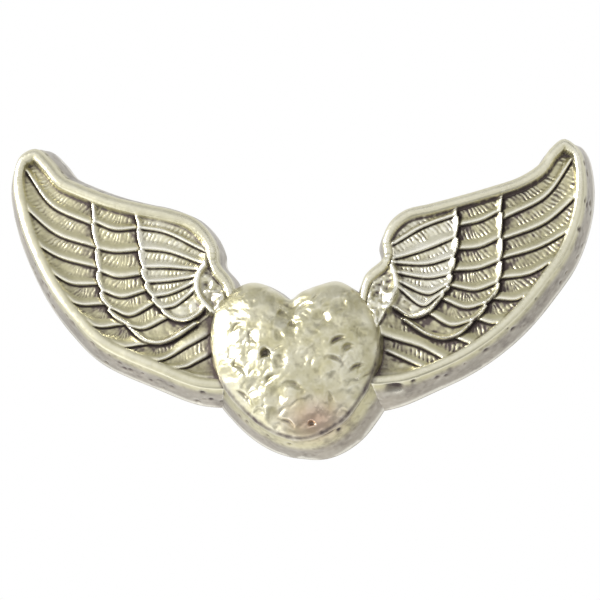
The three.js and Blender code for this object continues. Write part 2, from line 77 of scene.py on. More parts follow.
GRID = 0.108  # spacing of the front's vertices
RIM_CREST = 6.9
SHOULDER_CREST = 7.1
BAND_SHARE = 0.42  # share of a feather's width that its smooth lower band takes
BAND_RISE = 0.5
BARB_PITCH = 0.6
BARB_LEAN = -0.36  # the barbs run outwards as they go down
EDGE_RAIL = 0.05  # half width of the drop at a feather's edge
TIERS = {"primaries": 5.5, "coverts": 5.75, "shoulder": 6.05}  # relief height, from tip to root
WEB_LEVEL = 6.3  # relief height of the rough metal between shoulder and heart
WEB_END = (14.5, 8.5)

HEART_OUTLINE = [
    (-0.9, 1.6), (0.4, 2.5), (2.9, 3.4), (5.1, 3.8), (6.9, 2.9), (8.7, 1.2), (10, -1.2),
    (10.5, -3.8), (10.2, -6.7), (9.2, -9.5), (7.5, -12.2), (5.6, -14.4), (2.5, -16.2),
    (-0.1, -16.7), (-2.7, -16.1), (-5.2, -14.7), (-7.8, -12.3), (-10.1, -9.2), (-11.2, -5.4),
    (-11.4, -2.5), (-10.9, 0.3), (-9.3, 2.3), (-7.7, 3.5), (-6, 4), (-4.4, 3.7), (-2.7, 2.7),
    (-1.5, 1.8),
]

POCKET_OUTLINE = [
    (15.5, 11.2), (20.5, 12.4), (25.5, 13.8), (29.5, 15.2), (32.5, 17), (34.4, 18.8),
    (35.6, 17.6), (35.3, 13.5), (33.5, 8.5), (30.8, 4), (27, -0.2), (23, -3.6), (18.5, -5.8),
    (15.5, -6.8), (14.9, 2),
]

LEFT_WING = {
    "outline": [
        (8.5, 4), (10.4, 6.9), (10.6, 8.8), (11.6, 11), (13.6, 13), (16.7, 14.2), (20.7, 15.2),
        (24.7, 16.4), (28.8, 18.1), (31.2, 19.4), (32.9, 21.5), (34.9, 23.3), (37, 22.4),
        (37.9, 19.4), (37.4, 15.6), (35.8, 10.5), (32.7, 4.2), (29.3, -0.4), (25.9, -3.7),
        (19.4, -6.9), (12.2, -9.6), (8, -9),
    ],
    "covert_edge": [
        (27.3, 16.2), (27, 12.5), (26.5, 8.5), (26.2, 4.7), (25.2, 1.7), (22.6, -1),
        (20.1, -3.2), (18.1, -3.5), (16.1, -2.8), (13.6, -1.2),
    ],
    "shoulder_edge": [
        (21.7, 14.6), (21, 12.2), (20.6, 8.2), (20, 4.6), (18.7, 2), (17, -0.1), (15.1, -0.7),
        (13.2, 0), (12, 1.2),
    ],
    "shoulder_rim": [
        (17.3, 13.6), (15.3, 12.7), (13.3, 11.4), (11.9, 9.6), (11.3, 8.4), (11.7, 7.1),
        (12.9, 5.4), (13.2, 4.3), (13.1, 3.3), (12.7, 2.2), (11.3, 0.4),
    ],
    "rim_width": 1.4,
    "rim_soot": 0.35,  # share of the painted shade under the rim against that under a feather
    "ground_at": 0.95,  # depth inside the outline of the raised ground along the lower side
    "ground_rise": 0.6,
    "root_width": 0.0,  # extra draught of the lower wall beside the heart
    "soot": 0.6,
    "barbs": 0.5,
    "shoulder_highlight": 0.45,  # painted highlight over the shoulder
    "upper_steep": 0.35,  # share of the draught missing on the upper side
    "shade_from": 0.0,  # height under which the corner beside the heart is darkened with painted shade
    "smears": [(10.2, 2.4, 0.9)],  # out, height, radius
    "ridge": 0.27,  # half width of the raised edge between two tiers
    "primaries": [
        [(36.3, 20.3), (32.9, 15.5), (27.4, 12.7)],
        [(36.3, 15.2), (32.2, 11.6), (27.1, 9.7)],
        [(35.4, 10.7), (31.7, 8.4), (26.8, 6.9)],
        [(33.5, 7), (30.1, 4.8), (26.4, 4.6)],
        [(31.4, 3.7), (29.2, 2), (25.7, 1.9)],
        [(29.4, 0.8), (26.6, -1.1), (23.4, -0.9)],
        [(26.7, -2.2), (23.4, -3.9), (20.3, -3.6)],
        [(22.7, -4.6), (18.6, -5.9), (14.4, -3.9)],
        [(18.4, -7), (14.9, -6.8), (13.4, -6.1)],
    ],
    "coverts": [
        [(26.6, 12.8), (24.1, 11.8), (21.2, 11.9)],
        [(26.4, 9.3), (24.1, 8.8), (20.9, 8.9)],
        [(26, 6.2), (23.7, 5.4), (20.5, 5.7)],
        [(25.5, 3.5), (23.2, 2.7), (20, 3.5)],
        [(24.4, 1.1), (22.2, 0.2), (19, 1.7)],
        [(23, -0.8), (20.5, -1.6), (17.4, -0.3)],
    ],
    "shoulder": [
        [(20.7, 11.8), (17.4, 11.1), (12.8, 8.7)],
        [(20.4, 9), (17, 8.5), (13.2, 7)],
        [(20, 6.5), (17, 6.4), (13.5, 6)],
        [(19.7, 4.5), (17, 4.6), (13.6, 5)],
        [(18.7, 2.6), (16.8, 2.9), (13.6, 4.2)],
        [(17.6, 1), (16.2, 1.3), (13.5, 3.2)],
    ],
}

RIGHT_WING = {
    "outline": [
        (8.5, 4), (11.2, 6.8), (11.1, 9), (12.2, 11.4), (14.2, 12.9), (17.4, 13.6),
        (21.3, 14.5), (25.2, 15.5), (29.1, 16.7), (31.8, 18.4), (33.2, 20.3), (35, 21.5),
        (36.7, 20.1), (37.3, 17), (36.9, 12.5), (34.9, 7), (32, 2.9), (28, -1.6), (23.4, -5.2),
        (18.6, -7.7), (12.2, -9.6), (8, -9),
    ],
    "covert_edge": [
        (26.9, 15.4), (26.4, 12), (26.3, 8.8), (26.1, 5.6), (25.5, 2.2), (23.9, 0),
        (22.4, -1.9), (20.6, -3.5), (18.7, -4.1), (16.5, -3.5), (13.8, -1.6),
    ],
    "shoulder_edge": [
        (20.8, 14), (20.7, 10.8), (20.5, 7.8), (19.9, 5), (19.3, 2.7), (17.9, 0.6),
        (16.4, -0.8), (14.6, -1.2), (12.6, 0),
    ],
    "shoulder_rim": [
        (16.8, 13.4), (15.1, 12.8), (12.6, 10.8), (11.6, 8.5), (12, 6.2), (12.6, 4.1),
        (12.7, 3), (12.5, 2), (11.5, 0.1),
    ],
    "rim_width": 1.15,
    "rim_soot": 0.8,
    "ground_at": 0.65,
    "ground_rise": 0.4,
    "root_width": 0.6,
    "soot": 0.85,
    "barbs": 0.8,
    "shoulder_highlight": 0.75,
    "upper_steep": 0.7,
    "shade_from": -3.2,
    "smears": [(10.6, 0.4, 1.5), (9.4, -2.2, 1.1), (11.9, 1.9, 0.8)],
    "ridge": 0.19,
    "primaries": [
        [(36, 18.8), (32.4, 14.1), (26.9, 11.4)],
        [(36.1, 13.7), (32, 10.5), (26.6, 8.6)],
        [(35.1, 9.3), (31, 7.3), (26.4, 6.1)],
        [(32.8, 5.4), (29.8, 3.9), (26, 3.5)],
        [(30.1, 1.6), (28, 0.6), (25, 0.9)],
        [(26.9, -2), (24.9, -2.4), (22.9, -1.7)],
        [(22.8, -5.1), (21.6, -4.8), (20.4, -4.2)],
        [(18.7, -6.9), (15.6, -5.1), (13, -4.2)],
        [(15.9, -7.8), (14.6, -7.2), (13.6, -6.7)],
    ],
    "coverts": [
        [(26.2, 12.2), (23.8, 11.1), (20.9, 10.6)],
        [(26.1, 8.7), (23.4, 7.6), (20.6, 7.5)],
        [(25.9, 5.7), (23.2, 4.8), (20, 4.7)],
        [(25.4, 2.8), (22.8, 2), (19.7, 2.7)],
        [(23.9, 0.2), (21.5, -0.3), (18.6, 1)],
        [(22, -2), (19.6, -2.5), (17, -1)],
    ],
    "shoulder": [
        [(20.3, 11.8), (16.4, 10.5), (12.6, 8.4)],
        [(20.2, 8.9), (16.8, 7.6), (12.9, 6.5)],
        [(20, 6.4), (16.8, 5.6), (13.3, 5.8)],
        [(19.6, 4.2), (16.8, 3.8), (13.2, 4.5)],
        [(18.9, 2.6), (16.8, 1.7), (13.2, 3.3)],
        [(17.8, 1.2), (16.1, 0.2), (13.2, 2.4)],
    ],
}


# ---- Curves -----------------------------------------------------------------------------------

def spline(points, closed=False, per_span=16):
    """Centripetal Catmull-Rom curve through 2-D points."""
    pts = np.array(points, float)
    if closed:
        pts = np.vstack([pts[-1:], pts, pts[:2]])
    else:
        pts = np.vstack([2 * pts[:1] - pts[1:2], pts, 2 * pts[-1:] - pts[-2:-1]])
    spans = []
    for i in range(len(pts) - 3):
        p = pts[i:i + 4]
        knots = np.concatenate([[0], np.cumsum(np.linalg.norm(np.diff(p, axis=0), axis=1) ** 0.5)])
        t = np.linspace(knots[1], knots[2], per_span, endpoint=False)[:, None]

        def mix(a, b, low, high):
            return (a * (knots[high] - t) + b * (t - knots[low])) / (knots[high] - knots[low])

        a1, a2, a3 = mix(p[0], p[1], 0, 1), mix(p[1], p[2], 1, 2), mix(p[2], p[3], 2, 3)
        spans.append(mix(mix(a1, a2, 0, 2), mix(a2, a3, 1, 3), 1, 2))
    curve = np.vstack(spans)
    return curve if closed else np.vstack([curve, pts[-2:-1]])


def resample(line, step, closed=False):
    """The line with evenly spaced points about one step apart."""
    pts = np.vstack([line, line[:1]]) if closed else line
    run = np.concatenate([[0], np.cumsum(np.linalg.norm(np.diff(pts, axis=0), axis=1))])
    count = max(2, int(round(run[-1] / step)))
    at = np.linspace(0, run[-1], count + 1)
    if closed:
        at = at[:-1]
    return np.stack([np.interp(at, run, pts[:, k]) for k in (0, 1)], axis=1)


def left_normals(line, closed=False):
    """Unit normals on the left of the line's direction."""
    if closed:
        along = np.roll(line, -1, axis=0) - np.roll(line, 1, axis=0)
    else:
        along = np.gradient(line, axis=0)
    along = along / np.linalg.norm(along, axis=1)[:, None]
    return np.stack([-along[:, 1], along[:, 0]], axis=1)


def extended(line, length):
    """The line with straight ends added."""
    start = line[0] - line[1]
    end = line[-1] - line[-2]
    first = line[0] + start / np.linalg.norm(start) * length
    last = line[-1] + end / np.linalg.norm(end) * length
    return np.vstack([first, line, last])


CHUNK = 4000  # points measured at a time, to save memory


def near(points, line, closed=False):
    """For each point: distance to the line, side (+1 left, -1 right), arc length, segment."""
    a = line
    b = np.roll(line, -1, axis=0) if closed else line[1:]
    a = a[:len(b)]
    span = b - a
    length = np.linalg.norm(span, axis=1)
    run = np.concatenate([[0], np.cumsum(length)[:-1]])
    distance = np.empty(len(points))
    side = np.empty(len(points))
    arc = np.empty(len(points))
    segment = np.empty(len(points), int)
    for start in range(0, len(points), CHUNK):
        p = points[start:start + CHUNK]
        off = p[:, None, :] - a[None]
        t = np.clip((off * span).sum(2) / (length ** 2), 0, 1)
        gap = off - t[..., None] * span
        square = (gap ** 2).sum(2)
        best = square.argmin(1)
        rows = np.arange(len(p))
        stop = start + len(p)
        distance[start:stop] = np.sqrt(square[rows, best])
        cross = span[best, 0] * off[rows, best, 1] - span[best, 1] * off[rows, best, 0]
        side[start:stop] = np.where(cross >= 0, 1, -1)
        arc[start:stop] = run[best] + t[rows, best] * length[best]
        segment[start:stop] = best
    return distance, side, arc, segment


def smoothstep(low, high, x):
    """0 at low, 1 at high, with soft ends; low may be above high."""
    t = np.clip((x - low) / (high - low), 0, 1)
    return t * t * (3 - 2 * t)


def bell(x, width):
    """1 at zero, falling smoothly to about a third at one width away."""
    return np.exp(-(x / width) ** 2)


def softmin(a, b, width):
    """The smaller of two distances, rounded where they are nearly equal."""
    h = np.clip(0.5 + 0.5 * (b - a) / width, 0, 1)
    return b * (1 - h) + a * h - width * h * (1 - h)


# ---- Noise ------------------------------------------------------------------------------------

SCATTER = (73856093, 19349663, 83492791, 2654435, 1274126177)  # odd factors that mix up a cell's number


def noise(points, scale, seed):
    """Smooth value noise between -1 and 1; points may have two or three coordinates."""
    p = np.atleast_2d(points) / scale
    if p.shape[1] == 2:
        p = np.column_stack([p, np.zeros(len(p))])
    p = p + seed * 17.31
    cell = np.floor(p).astype(np.int64)
    t = p - cell
    t = t * t * (3 - 2 * t)
    total = np.zeros(len(p))
    for corner in np.ndindex(2, 2, 2):
        c = (cell + corner) * SCATTER[:3]
        key = c[:, 0] ^ c[:, 1] ^ c[:, 2] ^ (seed * SCATTER[3])
        key = (key ^ (key >> 13)) * SCATTER[4]
        value = ((key ^ (key >> 16)) & 0xFFFF) / 32767.5 - 1
        total += value * np.where(corner, t, 1 - t).prod(axis=1)
    return total


# ---- Meshes -----------------------------------------------------------------------------------

def into_scene(name, data):
    obj = bpy.data.objects.new(name, data)
    bpy.context.scene.collection.objects.link(obj)
    return obj


def make_object(name, verts_mm, faces):
    mesh = bpy.data.meshes.new(name)
    mesh.from_pydata((np.asarray(verts_mm) * MM).tolist(), [], faces)
    mesh.validate()
    mesh.update()
    return into_scene(name, mesh)


def vertices_mm(mesh):
    """The mesh's vertices as rows of x, y, z in millimetres."""
    co = np.empty(len(mesh.vertices) * 3)
    mesh.vertices.foreach_get("co", co)
    return co.reshape(-1, 3) / MM


def triangulate(boundary, inner=()):
    """Triangles over an outline (counter-clockwise) and loose points inside it.

    Gives the points, the triangles, and where each point of the outline is among the points.
    """
    points = np.vstack([boundary, inner]) if len(inner) else boundary
    count = len(boundary)
    edges = [(i, (i + 1) % count) for i in range(count)]
    made = delaunay_2d_cdt([Vector(p) for p in points], edges, [], 1, 1e-7)
    where = np.full(count, -1)
    for out, origins in enumerate(made[3]):
        for origin in origins:
            if origin < count:
                where[origin] = out
    return np.array([tuple(v) for v in made[0]]), np.array([tuple(f) for f in made[2]]), where


def cap(outline):
    """Triangles over a ring, by the ring's own vertex numbers."""
    _, triangles, where = triangulate(outline)
    numbers = np.empty(len(where), int)
    numbers[where] = np.arange(len(where))
    return numbers[triangles]


def ring_faces(first, second):
    """Quads between two closed rings of vertex numbers, facing away from the ring's inside."""
    first_next, second_next = np.roll(first, -1), np.roll(second, -1)
    return np.stack([first, second, second_next, first_next], axis=1).tolist()


def stack_faces(count, layers):
    """Quads between neighbours in a stack of rings that have the same count of vertices."""
    rings = np.arange(layers * count).reshape(layers, count)
    return [quad for k in range(layers - 1) for quad in ring_faces(rings[k], rings[k + 1])]


def casting(name, front, wall, relief):
    """A closed casting: relief over the front, rings down the wall, and a flat back.

    front is (boundary, inner points); wall is a list of rings of 3-D points from just under the
    front to the back; relief gives the height at any point of the front.
    """
    flat, triangles, ring = triangulate(*front)
    verts = np.column_stack([flat[:, 0], -relief(flat), flat[:, 1]])
    faces = triangles.tolist()
    for points in wall:
        below = np.arange(len(points)) + len(verts)
        verts = np.vstack([verts, points])
        faces += ring_faces(ring, below)
        ring = below
    faces += ring[cap(wall[-1][:, [0, 2]])][:, ::-1].tolist()
    return make_object(name, verts, faces)


def loft(name, rings):
    """A plain closed body through rings, each (outline, height), from the back to the front."""
    count, layers = len(rings[0][0]), len(rings)
    verts = [np.column_stack([o[:, 0], np.full(count, -h), o[:, 1]]) for o, h in rings]
    faces = [quad[::-1] for quad in stack_faces(count, layers)]
    faces += cap(rings[0][0])[:, ::-1].tolist()
    faces += (cap(rings[-1][0]) + (layers - 1) * count).tolist()
    return make_object(name, np.vstack(verts), faces)


def block(name, low, high):
    """A box between two corners, in millimetres."""
    x0, y0, z0 = low
    x1, y1, z1 = high
    corners = [(x, y, z) for x in (x0, x1) for y in (y0, y1) for z in (z0, z1)]
    faces = [(0, 1, 3, 2), (4, 6, 7, 5), (0, 4, 5, 1), (2, 3, 7, 6), (0, 2, 6, 4), (1, 5, 7, 3)]
    return make_object(name, corners, faces)


def circle(radius, a, b, sides):
    """Points round a circle with its centre at (a, b)."""
    turn = np.linspace(0, 2 * np.pi, sides, endpoint=False)
    return np.stack([a + radius * np.cos(turn), b + radius * np.sin(turn)], axis=1)


def post(name, radius, x, z, y0, y1):
    """A round post along Y."""
    ring = circle(radius, x, z, 48)
    return loft(name, [(ring, -y1), (ring, -y0)])


def combine(obj, other, operation):
    """Joins another body to the object or cuts it away, and removes the other body."""
    modifier = obj.modifiers.new("combine", "BOOLEAN")
    modifier.operation = operation
    modifier.solver = "MANIFOLD"
    modifier.object = other
    bpy.context.view_layer.update()
    graph = bpy.context.evaluated_depsgraph_get()
    mesh = bpy.data.meshes.new_from_object(obj.evaluated_get(graph))
    obj.modifiers.remove(modifier)
    old = obj.data
    obj.data = mesh
    bpy.data.meshes.remove(old)
    bpy.data.objects.remove(other)


def outward(outline, spread=1.6):
    """Outward unit normals of a counter-clockwise outline, evened out over the spread."""
    normals = -left_normals(outline, closed=True)
    pitch = np.linalg.norm(np.roll(outline, -1, axis=0) - outline, axis=1).mean()
    for _ in range(int(2 * (spread / pitch) ** 2) + 1):
        normals = (np.roll(normals, 1, axis=0) + 2 * normals + np.roll(normals, -1, axis=0)) / 4
    return normals / np.linalg.norm(normals, axis=1)[:, None]


def offset_outline(outline, distance):
    """A counter-clockwise outline moved outwards."""
    return outline + outward(outline) * distance


def counter_clockwise(outline):
    x, y = outline.T
    area = (x * np.roll(y, -1) - y * np.roll(x, -1)).sum()
    return outline if area > 0 else outline[::-1]


def closed_curve(points, step):
    """An evenly spaced, counter-clockwise outline through given points."""
    return counter_clockwise(resample(spline(points, True), step, True))


def hex_grid(low, high, pitch):
    """Points on a triangular grid over a rectangle."""
    rows = np.arange(low[1], high[1], pitch * math.sqrt(3) / 2)
    points = []
    for k, z in enumerate(rows):
        x = np.arange(low[0] + (k % 2) * pitch / 2, high[0], pitch)
        points.append(np.column_stack([x, np.full(len(x), z)]))
    return np.vstack(points)


def thin_out(points, crowd, clearance):
    """Leaves out the points that are closer than the clearance to a crowd of others."""
    taken = set()
    cells = np.floor(crowd / clearance).astype(int)
    for x, z in cells:
        for dx in (-1, 0, 1):
            for dz in (-1, 0, 1):
                taken.add((x + dx, z + dz))
    mine = np.floor(points / clearance).astype(int)
    keep = np.array([(x, z) not in taken for x, z in mine])
    return points[keep]


def roughened(points, normals, amount, seed):
    """Moves points along their normals by the slow unevenness of a hand-finished casting."""
    slow = noise(points, 3.1, seed) + 0.5 * noise(points, 1.3, seed + 1)
    fine = noise(points, 0.45, seed + 2)
    return points + normals * ((slow + 0.35 * fine) * amount)[:, None]


WALL_STEP = 0.24
WALL_ROUGHNESS = 0.045


def wall_rings(boundary, rear, seed, pits):
    """Rings down a draughted side wall, from under the rim to the rear outline."""
    rings = []
    count = int((EDGE - BACK) / WALL_STEP)
    across = outward(boundary)
    tilt = np.column_stack([across[:, 0], np.full(len(across), -0.3), across[:, 1]])
    for k in range(1, count + 1):
        t = k / count
        height = EDGE + (BACK - EDGE) * t
        ring = boundary + (rear - boundary) * t
        points = np.column_stack([ring[:, 0], np.full(len(ring), -height), ring[:, 1]])
        settle = min(1, k / 2) * (1 if k < count else 0)
        points = roughened(points, tilt, WALL_ROUGHNESS * settle, seed)
        if k == count:
            points[:, 1] = -BACK
        for px, pz, ph, radius, depth in pits:
            gap = np.linalg.norm(points - (px, -ph, pz), axis=1)
            points = points - tilt * (depth * bell(gap, radius))[:, None]
        rings.append(points)
    return rings


# ---- Wings ------------------------------------------------------------------------------------

class Wing:
    """The relief of one wing, in [out, height] coordinates."""

    def __init__(self, layout, sign, seed):
        self.seed = seed
        self.layout = layout
        self.boundary = closed_curve(layout["outline"], 0.15)
        self.coarse = resample(self.boundary, 0.45, True)
        self.coarse_normals = -left_normals(self.coarse, True)
        self.heart = resample(heart_ring() * (sign, 1), 0.45, True)
        self.tiers = {}
        for tier in TIERS:
            self.tiers[tier] = [extended(spline(f, per_span=10), 2.5) for f in layout[tier]]
        self.shoulder_rim = spline(layout["shoulder_rim"], per_span=8)
        self.covert_edge = self.scalloped(layout["covert_edge"], "coverts")
        self.shoulder_edge = self.scalloped(layout["shoulder_edge"], "shoulder")

    def uneven(self, points, scale, number):
        """Noise of this wing's own."""
        return noise(points, scale, self.seed + number)

    def between(self, points, tier):
        """Distance under the feather edge above, over the edge below, and place along it."""
        above, below = np.full((2, len(points)), FAR)
        place = np.zeros(len(points))
        for k, edge in enumerate(self.tiers[tier]):
            distance, side, arc, _ = near(points, edge)
            under = side > 0
            above = np.where(under & (distance < above), distance, above)
            nearer = ~under & (distance < below)
            below = np.where(nearer, distance, below)
            place = np.where(nearer, arc + k * 3.7, place)
        return above, below, place

    def scalloped(self, line, tier):
        """A tier's outer edge, stepping out a little at the top of each feather."""
        edge = resample(spline(line), 0.12)
        above, below, _ = self.between(edge, tier)
        across = above / (above + below)
        step = 0.3 * (1 - across) + 0.14 * np.sin(np.pi * across)
        step = np.where(np.maximum(above, below) > FAR / 2, 0.1, step)
        return edge + left_normals(edge) * step[:, None]

    def inside(self, points):
        """Distance inside the outline, and how far that side faces up."""
        distance, side, _, segment = near(points, self.coarse, True)
        return distance * side, self.coarse_normals[segment, 1]

    def survey(self, points):
        """Relief height, tarnish with painted shade (0 to 1), and painted highlight (0 to 1) at points of the
        front.
        """
        depth, up = self.inside(points)
        rim_width = self.layout["rim_width"] + 0.35 * smoothstep(0.2, 0.8, up)
        to_heart = near(points, self.heart, True)[0]
        look = self.all_tiers(points, depth, rim_width)
        look = self.shoulder_side(points, to_heart, *look)
        look = self.outer_rim(depth, up, rim_width, *look)
        lip = 1 - smoothstep(0.85, 1.0, depth / rim_width)
        height, soot, highlight_share = self.beside_heart(points, to_heart, lip, *look)
        grain = 0.02 * self.uneven(points, 0.9, 0) + 0.014 * self.uneven(points, 0.3, 5)
        return height + grain * smoothstep(0, 0.3, depth), soot, highlight_share

    def all_tiers(self, points, depth, rim_width):
        """The three tiers of feathers, each one lying over the tier further out."""
        to_covert, covert_side, _, _ = near(points, self.covert_edge)
        to_shoulder, shoulder_side, _, _ = near(points, self.shoulder_edge)
        outer = covert_side > 0
        inner = shoulder_side < 0
        height, soot, highlight_share = np.zeros((3, len(points)))
        for tier, mask, tip, behind in (
            ("primaries", outer, depth + 0.3, to_covert),
            ("coverts", ~outer & ~inner, to_covert, to_shoulder),
            ("shoulder", inner, to_shoulder, np.full(len(points), FAR)),
        ):
            from_rim = np.maximum(depth - rim_width, 0)[mask]
            look = self.feathers(points[mask], tier, from_rim, tip[mask], behind[mask])
            height[mask], soot[mask], highlight_share[mask] = look
            height[mask] += TIERS[tier]
        return height, soot, highlight_share

    def shoulder_side(self, points, to_heart, height, soot, highlight_share):
        """The thick rounded rim on the shoulder's inner side, and the web beyond it."""
        gap, side, _, _ = near(points, self.shoulder_rim)
        web = WEB_LEVEL + 0.6 * np.exp(-to_heart / 1.2) + 0.26 * self.uneven(points, 0.8, 20)
        web += 0.12 * self.uneven(points, 0.35, 21)
        beyond = (side < 0) & (gap < 6) & (points < WEB_END).all(axis=1)
        height = np.where(beyond, web, height)
        soot = np.where(beyond, 0.18 + 0.35 * self.uneven(points, 0.8, 22), soot)
        # Painted highlights at random over the web.
        highlight_share = np.where(beyond, 0.35 + 0.6 * self.uneven(points, 0.5, 23), highlight_share)
        crest = bell(gap, 0.52)
        # Painted shade along the outer foot of the rim; a painted highlight on its crest.
        soot = np.maximum(soot, 0.4 * bell(gap - 0.85, 0.25) * (side > 0))
        height = height + crest * np.maximum(SHOULDER_CREST - height, 0)
        soot = soot * (1 - smoothstep(0.35, 0.8, crest))
        return height, soot, np.maximum(highlight_share * (1 - crest), smoothstep(0.55, 1, crest))

    def outer_rim(self, depth, up, rim_width, height, soot, highlight_share):
        """The raised rim round the whole wing, lower along its outer and lower sides."""
        crest = RIM_CREST - 0.35 * smoothstep(0.3, -0.3, up)
        share = depth / rim_width
        rise = EDGE + (crest - EDGE) * (1 - np.abs(2 * np.clip(share, 0, 1) - 1) ** 2.6)
        ground = bell(depth - self.layout["ground_at"], 1.3) * smoothstep(0.5, -0.2, up)
        height = height + self.layout["ground_rise"] * ground
        blend = smoothstep(0.9, 1.15, share)
        lip = 1 - smoothstep(0.85, 1.0, share)
        # Painted highlight along the middle of the rim.
        highlight_share = np.maximum(highlight_share * (1 - lip), 0.3 * bell(share - 0.5, 0.2))
        return rise * (1 - blend) + height * blend, soot * (1 - lip), highlight_share

    def beside_heart(self, points, to_heart, lip, height, soot, highlight_share):
        """Painted shade in the corner below the heart, and smears of metal beside it with painted highlights.
        """
        shade_from = self.layout["shade_from"]
        # Painted shade in the low corner, darkest against the heart.
        low = smoothstep(shade_from + 0.8, shade_from - 0.8, points[:, 1])
        shadow = 0.95 * np.exp(-to_heart / 0.5) + 0.7 * np.exp(-to_heart / 2.2) * (1 - lip)
        soot = np.maximum(soot, low * shadow)
        for x, z, radius in self.layout["smears"]:
            smear = bell(np.linalg.norm(points - (x, z), axis=1), radius)
            smear = smear * smoothstep(-0.6, 0.5, self.uneven(points, 0.6, 24) + smear)
            height = height + 0.45 * smear
            soot = soot * (1 - 0.85 * smear)
            highlight_share = np.maximum(highlight_share, smear * (0.5 + 0.5 * self.uneven(points, 0.4, 25)))
        return height, soot, highlight_share

    def feathers(self, points, tier, from_rim, tip, behind):
        """One tier: height over the tier's own level, tarnish with painted shade, and painted highlight.

        tip is the distance inside the tier's outer edge, behind the distance out from the tier
        that lies over it.
        """
        layout = self.layout
        above, below, place = self.between(points, tier)
        at_tip = smoothstep(31, 34.5, points[:, 0])
        # Share of the painted shade under the edge above; under the rim it is the rim's share, less at the
        # tip.
        cover = np.where(above > FAR / 2, layout["rim_soot"] * (1 - 0.8 * at_tip), 1)
        above = np.where(above > FAR / 2, from_rim, above)
        below = np.where(below > FAR / 2, from_rim + 0.3, below)
        # The smooth band along the feather's lower edge and round its tip.
        width = np.clip(BAND_SHARE * (above + below), 0.65, 1.5)
        over = softmin(below / width, tip / 0.75, 0.45)
        band = 1 - smoothstep(0.62, 1.12, over)
        crown = BAND_RISE * (1 - 0.72 * smoothstep(0.2, 1.3, over))
        crown = crown - 0.14 * (1 - smoothstep(0, 0.2, over))
        tier_ridge = bell(tip - layout["ridge"], layout["ridge"])
        # The barbs on the field above the band.
        wobble = 0.1 * self.uneven(points, 0.8, 9) + 0.09 * self.uneven(points, 0.33, 10)
        wave = np.sin((place + BARB_LEAN * below + wobble) / BARB_PITCH * 2 * np.pi)
        strength = smoothstep(0.1, 0.6, above) * (1 - smoothstep(0.1, 0.75, band))
        strength = strength * smoothstep(0.05, 0.6, behind)
        strength = strength * np.clip(0.6 + 0.9 * self.uneven(points, 0.9, 11), 0, 1) * layout["barbs"]
        # The narrow trench under the feather above and behind the tier above.
        gap_above = 0.28 * bell(above, 0.22) * cover
        trench = np.maximum(gap_above, 0.3 * bell(behind, 0.28))
        height = -0.16 * np.exp(-behind / 0.7) - 0.1 + crown + 0.085 * wave * strength + 0.16 * tier_ridge
        height = height - trench * (1 - 0.3 * band)
        # Tarnish and painted shade: a dark line under the feather edge above, darker down from it and near
        # the tier lying over this one, dark barb grooves and random blotches; the band stays light.
        close = np.exp(-behind / 1.5)
        blotch = self.uneven(points, 0.45, 12)
        soot = (0.45 + 0.35 * close) * bell(above, 0.2)
        soot = soot + 0.7 * np.exp(-above / 0.75) * (0.9 + 0.9 * blotch)
        soot = soot * cover + 0.7 * bell(behind, 0.5) + 0.7 * close * (1 + 0.9 * blotch)
        soot = soot * layout["soot"] * (0.45 if tier == "shoulder" else 1)
        soot = soot + strength * (0.1 - 0.22 * wave) + 0.12 * blotch
        soot = soot * (1 - 0.95 * smoothstep(0.1, 0.75, band) * smoothstep(0.05, 0.22, above))
        # Painted highlights: on the barbs' tops, a line along the band, the ridge at the tier's edge, and
        # over the whole shoulder.
        highlight_share = strength * smoothstep(0, 1, wave) * 0.35 * (1 - np.exp(-above / 0.5))
        highlight_share = np.maximum(highlight_share, 0.3 * bell(over - 0.28, 0.22))
        highlight_share = np.maximum(highlight_share, (1.1 - 0.3 * layout["soot"]) * tier_ridge)
        if tier == "shoulder":
            highlight_share = highlight_share + layout["shoulder_highlight"] * (0.7 + 0.6 * self.uneven(points, 1.2, 13))
        return height, np.clip(soot, 0, 1), np.clip(highlight_share - soot, 0, 1)

    def front(self):
        """The boundary and the inner points of the front, closest along the feathers' edges."""
        boundary = self.boundary
        normals = -left_normals(boundary, True)
        rings = [boundary - normals * d for d in (0.08, 0.18, 0.3, 0.44, 0.6)]
        lines = [(edge, tier) for tier in TIERS for edge in self.tiers[tier]]
        crowd = []
        for line, tier in lines + [(self.covert_edge, None), (self.shoulder_edge, None)]:
            line = resample(line, 0.11)
            normal = left_normals(line)
            if tier is not None:
                outer = near(line, self.covert_edge)[1] > 0
                inner = near(line, self.shoulder_edge)[1] < 0
                keep = dict(zip(TIERS, (outer, ~outer & ~inner, inner)))[tier]
                line, normal = line[keep], normal[keep]
            crowd += [line + normal * EDGE_RAIL, line - normal * EDGE_RAIL]
        crowd = np.vstack(crowd)
        crowd = crowd[self.inside(crowd)[0] > 0.72]
        grid = hex_grid(boundary.min(0), boundary.max(0), GRID)
        grid = grid[self.inside(grid)[0] > 0.7]
        grid = thin_out(grid, crowd, GRID * 0.62)
        return boundary, np.vstack(rings + [crowd, grid])


# Pits in the side walls: [out, height], relief height, radius, depth.
LEFT_WALL_PITS = [
    (31.0, 17.6, 5.2, 0.3, 0.35), (23.6, 16.4, 5.6, 0.45, 0.3), (33.8, 4.8, 4.7, 0.4, 0.4),
    (30.4, -0.6, 5.0, 0.5, 0.5), (27.6, -3.4, 5.0, 0.45, 0.45), (18.6, -8.6, 4.0, 0.35, 0.35),
    (17.2, -9.3, 3.6, 0.4, 0.35), (22.1, -7.3, 3.9, 0.4, 0.35),
]

RIGHT_WALL_PITS = [
    (11.6, -9.8, 5.2, 0.9, 0.6), (12.6, -9.9, 5.0, 0.6, 0.5), (24.6, -6.2, 4.4, 0.4, 0.3),
    (33.5, 1.6, 4.2, 0.5, 0.3), (28.9, -2.8, 3.6, 0.4, 0.3),
]


